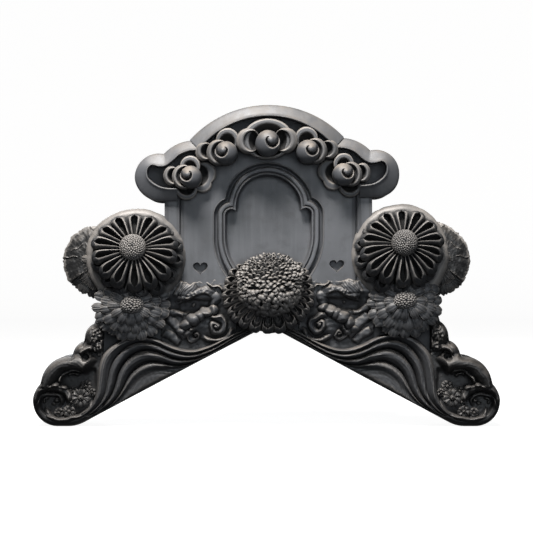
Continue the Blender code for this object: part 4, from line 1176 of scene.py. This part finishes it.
@functools.cache
def smoked_clay(name, streaks=0.0, overall_darkening=0.0, hollow_shade_strength=0.9, dust_and_top_light_share=0.8, edge_wear_and_highlight=1.0):
    """Smoke-fired roof clay: blue-grey skin with a satin sheen. Faces that point up turn warm with dust and painted top
    light, ridges turn light with wear and a painted highlight, creases turn dark with dirt and painted shade, and the
    hollows and lower parts are darkened by painted shade.

    The shares say how streaked it is, how much darker all over, how dark the painted shade in its hollows is, how much
    dust and painted top light it takes, and how strongly its ridges are lightened. The skin is built up in layers, each
    a share and a colour over what is below.
    """
    material = bpy.data.materials.new(name)
    material.use_nodes = True
    tree = material.node_tree
    shader = tree.nodes["Principled BSDF"]
    start = Value(tree, None)
    place = start.out(start.node("ShaderNodeTexCoord"), "Object")
    height = start.out(start.node("ShaderNodeSeparateXYZ", Vector=place), "Z")
    brushed = start.out(start.node("ShaderNodeMapping", Vector=place, Scale=(1.0, 1.0, 0.07)))

    def noise(scale, detail=4, rough=0.55, at=place):
        return start.out(start.node("ShaderNodeTexNoise", Vector=at, Scale=scale, Detail=detail, Roughness=rough))

    def marked(attribute):
        return start.out(start.node("ShaderNodeAttribute", {"attribute_name": attribute}), "Fac")

    cloudy, fine, grain, streaky = noise(9), noise(60), noise(420, 3), noise(95, 3, 0.6, brushed)
    ridge_wear_and_highlight, crease_dirt_and_shade, facing = marked("ridge_wear_and_highlight"), marked("crease_dirt_and_shade"), marked("upward")
    # Dust and painted top light: faces that point up turn warm, with dust lying there and light from above painted on.
    up_facing_dust_and_light = (facing.ramp(0.1, 0.9) * (0.35 + 0.9 * fine.ramp(0.35, 0.7))).held()
    # Ridges lighter: wear on the edges, and a painted highlight where light from above would catch them.
    worn_edges_and_highlight = ((ridge_wear_and_highlight * edge_wear_and_highlight - 0.3 * (edge_wear_and_highlight - 1)).ramp(0.25, 1.0) * (0.35 + 0.8 * cloudy.ramp(0.35, 0.65))).held()
    # Painted shade in the hollows, from the `hollow` occlusion attribute.
    hollow_shade = marked("hollow").ramp(0.3, 0.85)
    dust_and_top_light = (dust_and_top_light_share * up_facing_dust_and_light * (1 - 0.8 * hollow_shade)).held()
    dark, light = 56 + 10 * streaks, 72 + 12 * streaks
    skin = srgb(dark, dark + 2, dark + 5)
    for share, colour in (
        (cloudy.ramp(0.3, 0.7), (light, light + 2, light + 6)),
        ((streaky.ramp(0.45, 0.75) * (0.1 + 0.15 * streaks)).held(), (104, 107, 111)),
        ((fine.ramp(0.5, 0.75) * 0.4).held(), (58, 59, 61)),
        # darker all over, by a share set for each piece
        (overall_darkening, (20, 20, 20)),
        # dust, and painted light on faces that point up
        (dust_and_top_light * (1 - 0.5 * overall_darkening), (128, 120, 111)),
        # wear on ridges, and a painted highlight
        ((0.75 * worn_edges_and_highlight * (1 - 0.8 * hollow_shade)).held(), (138, 134, 130)),
        # dirt and painted shade in creases
        ((crease_dirt_and_shade.ramp(0.03, 0.45) * (0.85 - 0.25 * streaks)).held(), (17, 16, 16)),
        # painted shade in the hollows
        ((hollow_shade * hollow_shade_strength).held(), (9, 9, 9)),
        # painted shade: darker towards the bottom, where light from above falls off
        (((1 - (height + 0.02 * cloudy).ramp(0.04, 0.27)) * 0.6).held(), (40, 40, 41)),
    ):
        skin = start.cover(share, skin, srgb(*colour))
    gloss = 0.4 + 0.14 * cloudy + 0.12 * fine + 0.2 * dust_and_top_light + 0.2 * crease_dirt_and_shade + 0.25 * hollow_shade - 0.06 * streaky
    bumps = 0.55 * fine + 0.25 * grain + 0.35 * streaky * (0.3 + streaks)
    bump = start.out(start.node("ShaderNodeBump", Strength=0.35, Distance=0.0008, Height=bumps))
    for value, name in ((skin, "Base Color"), (gloss.held(), "Roughness"), (bump, "Normal")):
        tree.links.new(value.socket, shader.inputs[name])
    shader.inputs["Metallic"].default_value = 0.12
    shader.inputs["Specular IOR Level"].default_value = 0.5
    return material


# ---------------------------------------------------------------- stage, light and camera

# Each lamp: name, place, size, power and colour. All aim at the tile's middle.
LAMPS = (("key", (-0.3, -1.1, 2.1), (0.9, 0.5), 135, (1, 0.965, 0.93)),
         ("fill", (0.5, -2.8, 0.8), (1.8, 1.8), 28, (0.88, 0.94, 1.0)),
         ("back", (-0.9, 2.8, 1.3), (1.8, 1.8), 34, (0.94, 0.97, 1.0)))
PAPER = {"Base Color": (0.3, 0.3, 0.3, 1), "Roughness": 1.0, "Specular IOR Level": 0.0,
         "Emission Color": (1, 1, 1, 1), "Emission Strength": 0.93}
EYE_DISTANCE, VIEW_WIDTH, EYE_HEIGHT = 3.0, 0.7744, 0.2332


def studio():
    """A plain white sweep all round, soft lamps above, in front and behind, and a camera level with the tile."""
    scene = bpy.context.scene
    scene.view_settings.view_transform = "Standard"
    bend = np.linspace(0, math.pi / 2, 10)
    reach = np.concatenate([[0.01, 2.0], 6.0 + 0.8 * np.sin(bend), [6.8]])
    rise = np.concatenate([[0, 0], 0.8 - 0.8 * np.cos(bend), [9.0]]) - 0.0006
    steps = 72
    faces = strips(len(reach), steps)[:, ::-1].tolist() + [list(range(steps))]
    mesh = bpy.data.meshes.new("studio_sweep")
    mesh.from_pydata(revolved(rows(reach, rise), steps).reshape(-1, 3).tolist(), [], faces)
    mesh.shade_smooth()
    sweep = bpy.data.objects.new("studio_sweep", mesh)
    scene.collection.objects.link(sweep)
    paper = bpy.data.materials.new("white_paper")
    paper.use_nodes = True
    for name, value in PAPER.items():
        paper.node_tree.nodes["Principled BSDF"].inputs[name].default_value = value
    mesh.materials.append(paper)
    sweep.visible_diffuse = sweep.visible_glossy = False

    for one in LAMPS:
        lamp(*one)
    scene.world = bpy.data.worlds.new("studio_air")
    scene.world.use_nodes = True
    air = scene.world.node_tree.nodes["Background"].inputs
    air[0].default_value, air[1].default_value = (1, 1, 1, 1), 0.05

    view = bpy.data.cameras.new("front_view")
    view.lens = view.sensor_width * EYE_DISTANCE / VIEW_WIDTH
    eye = bpy.data.objects.new("front_view", view)
    scene.collection.objects.link(eye)
    eye.location = (0, BACK_PLANE * MM - 0.1 - EYE_DISTANCE, EYE_HEIGHT)
    eye.rotation_euler = (math.pi / 2, 0, 0)
    scene.camera = eye


def lamp(name, place, size, power, colour):
    """A soft rectangular lamp that aims at the tile's middle."""
    light = bpy.data.lights.new(name, "AREA")
    light.shape = "RECTANGLE"
    light.size, light.size_y = size
    light.energy, light.color = power, colour
    stand_in = bpy.data.objects.new(name, light)
    bpy.context.scene.collection.objects.link(stand_in)
    stand_in.location = place
    stand_in.rotation_euler = (Vector((0, 0, 0.2335)) - Vector(place)).to_track_quat("-Z", "Y").to_euler()


body = tile_body()
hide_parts(NODE)
clouds()
crown_flower()
for side in (-1, 1):
    for make in (great_flower, lower_flower, side_flower, streams, foot, foliage):
        make(side)
# Painted shade: each point darkens by how much the relief around it hides.
paint_hollow_shade(PIECES, carcass_outline())
studio()
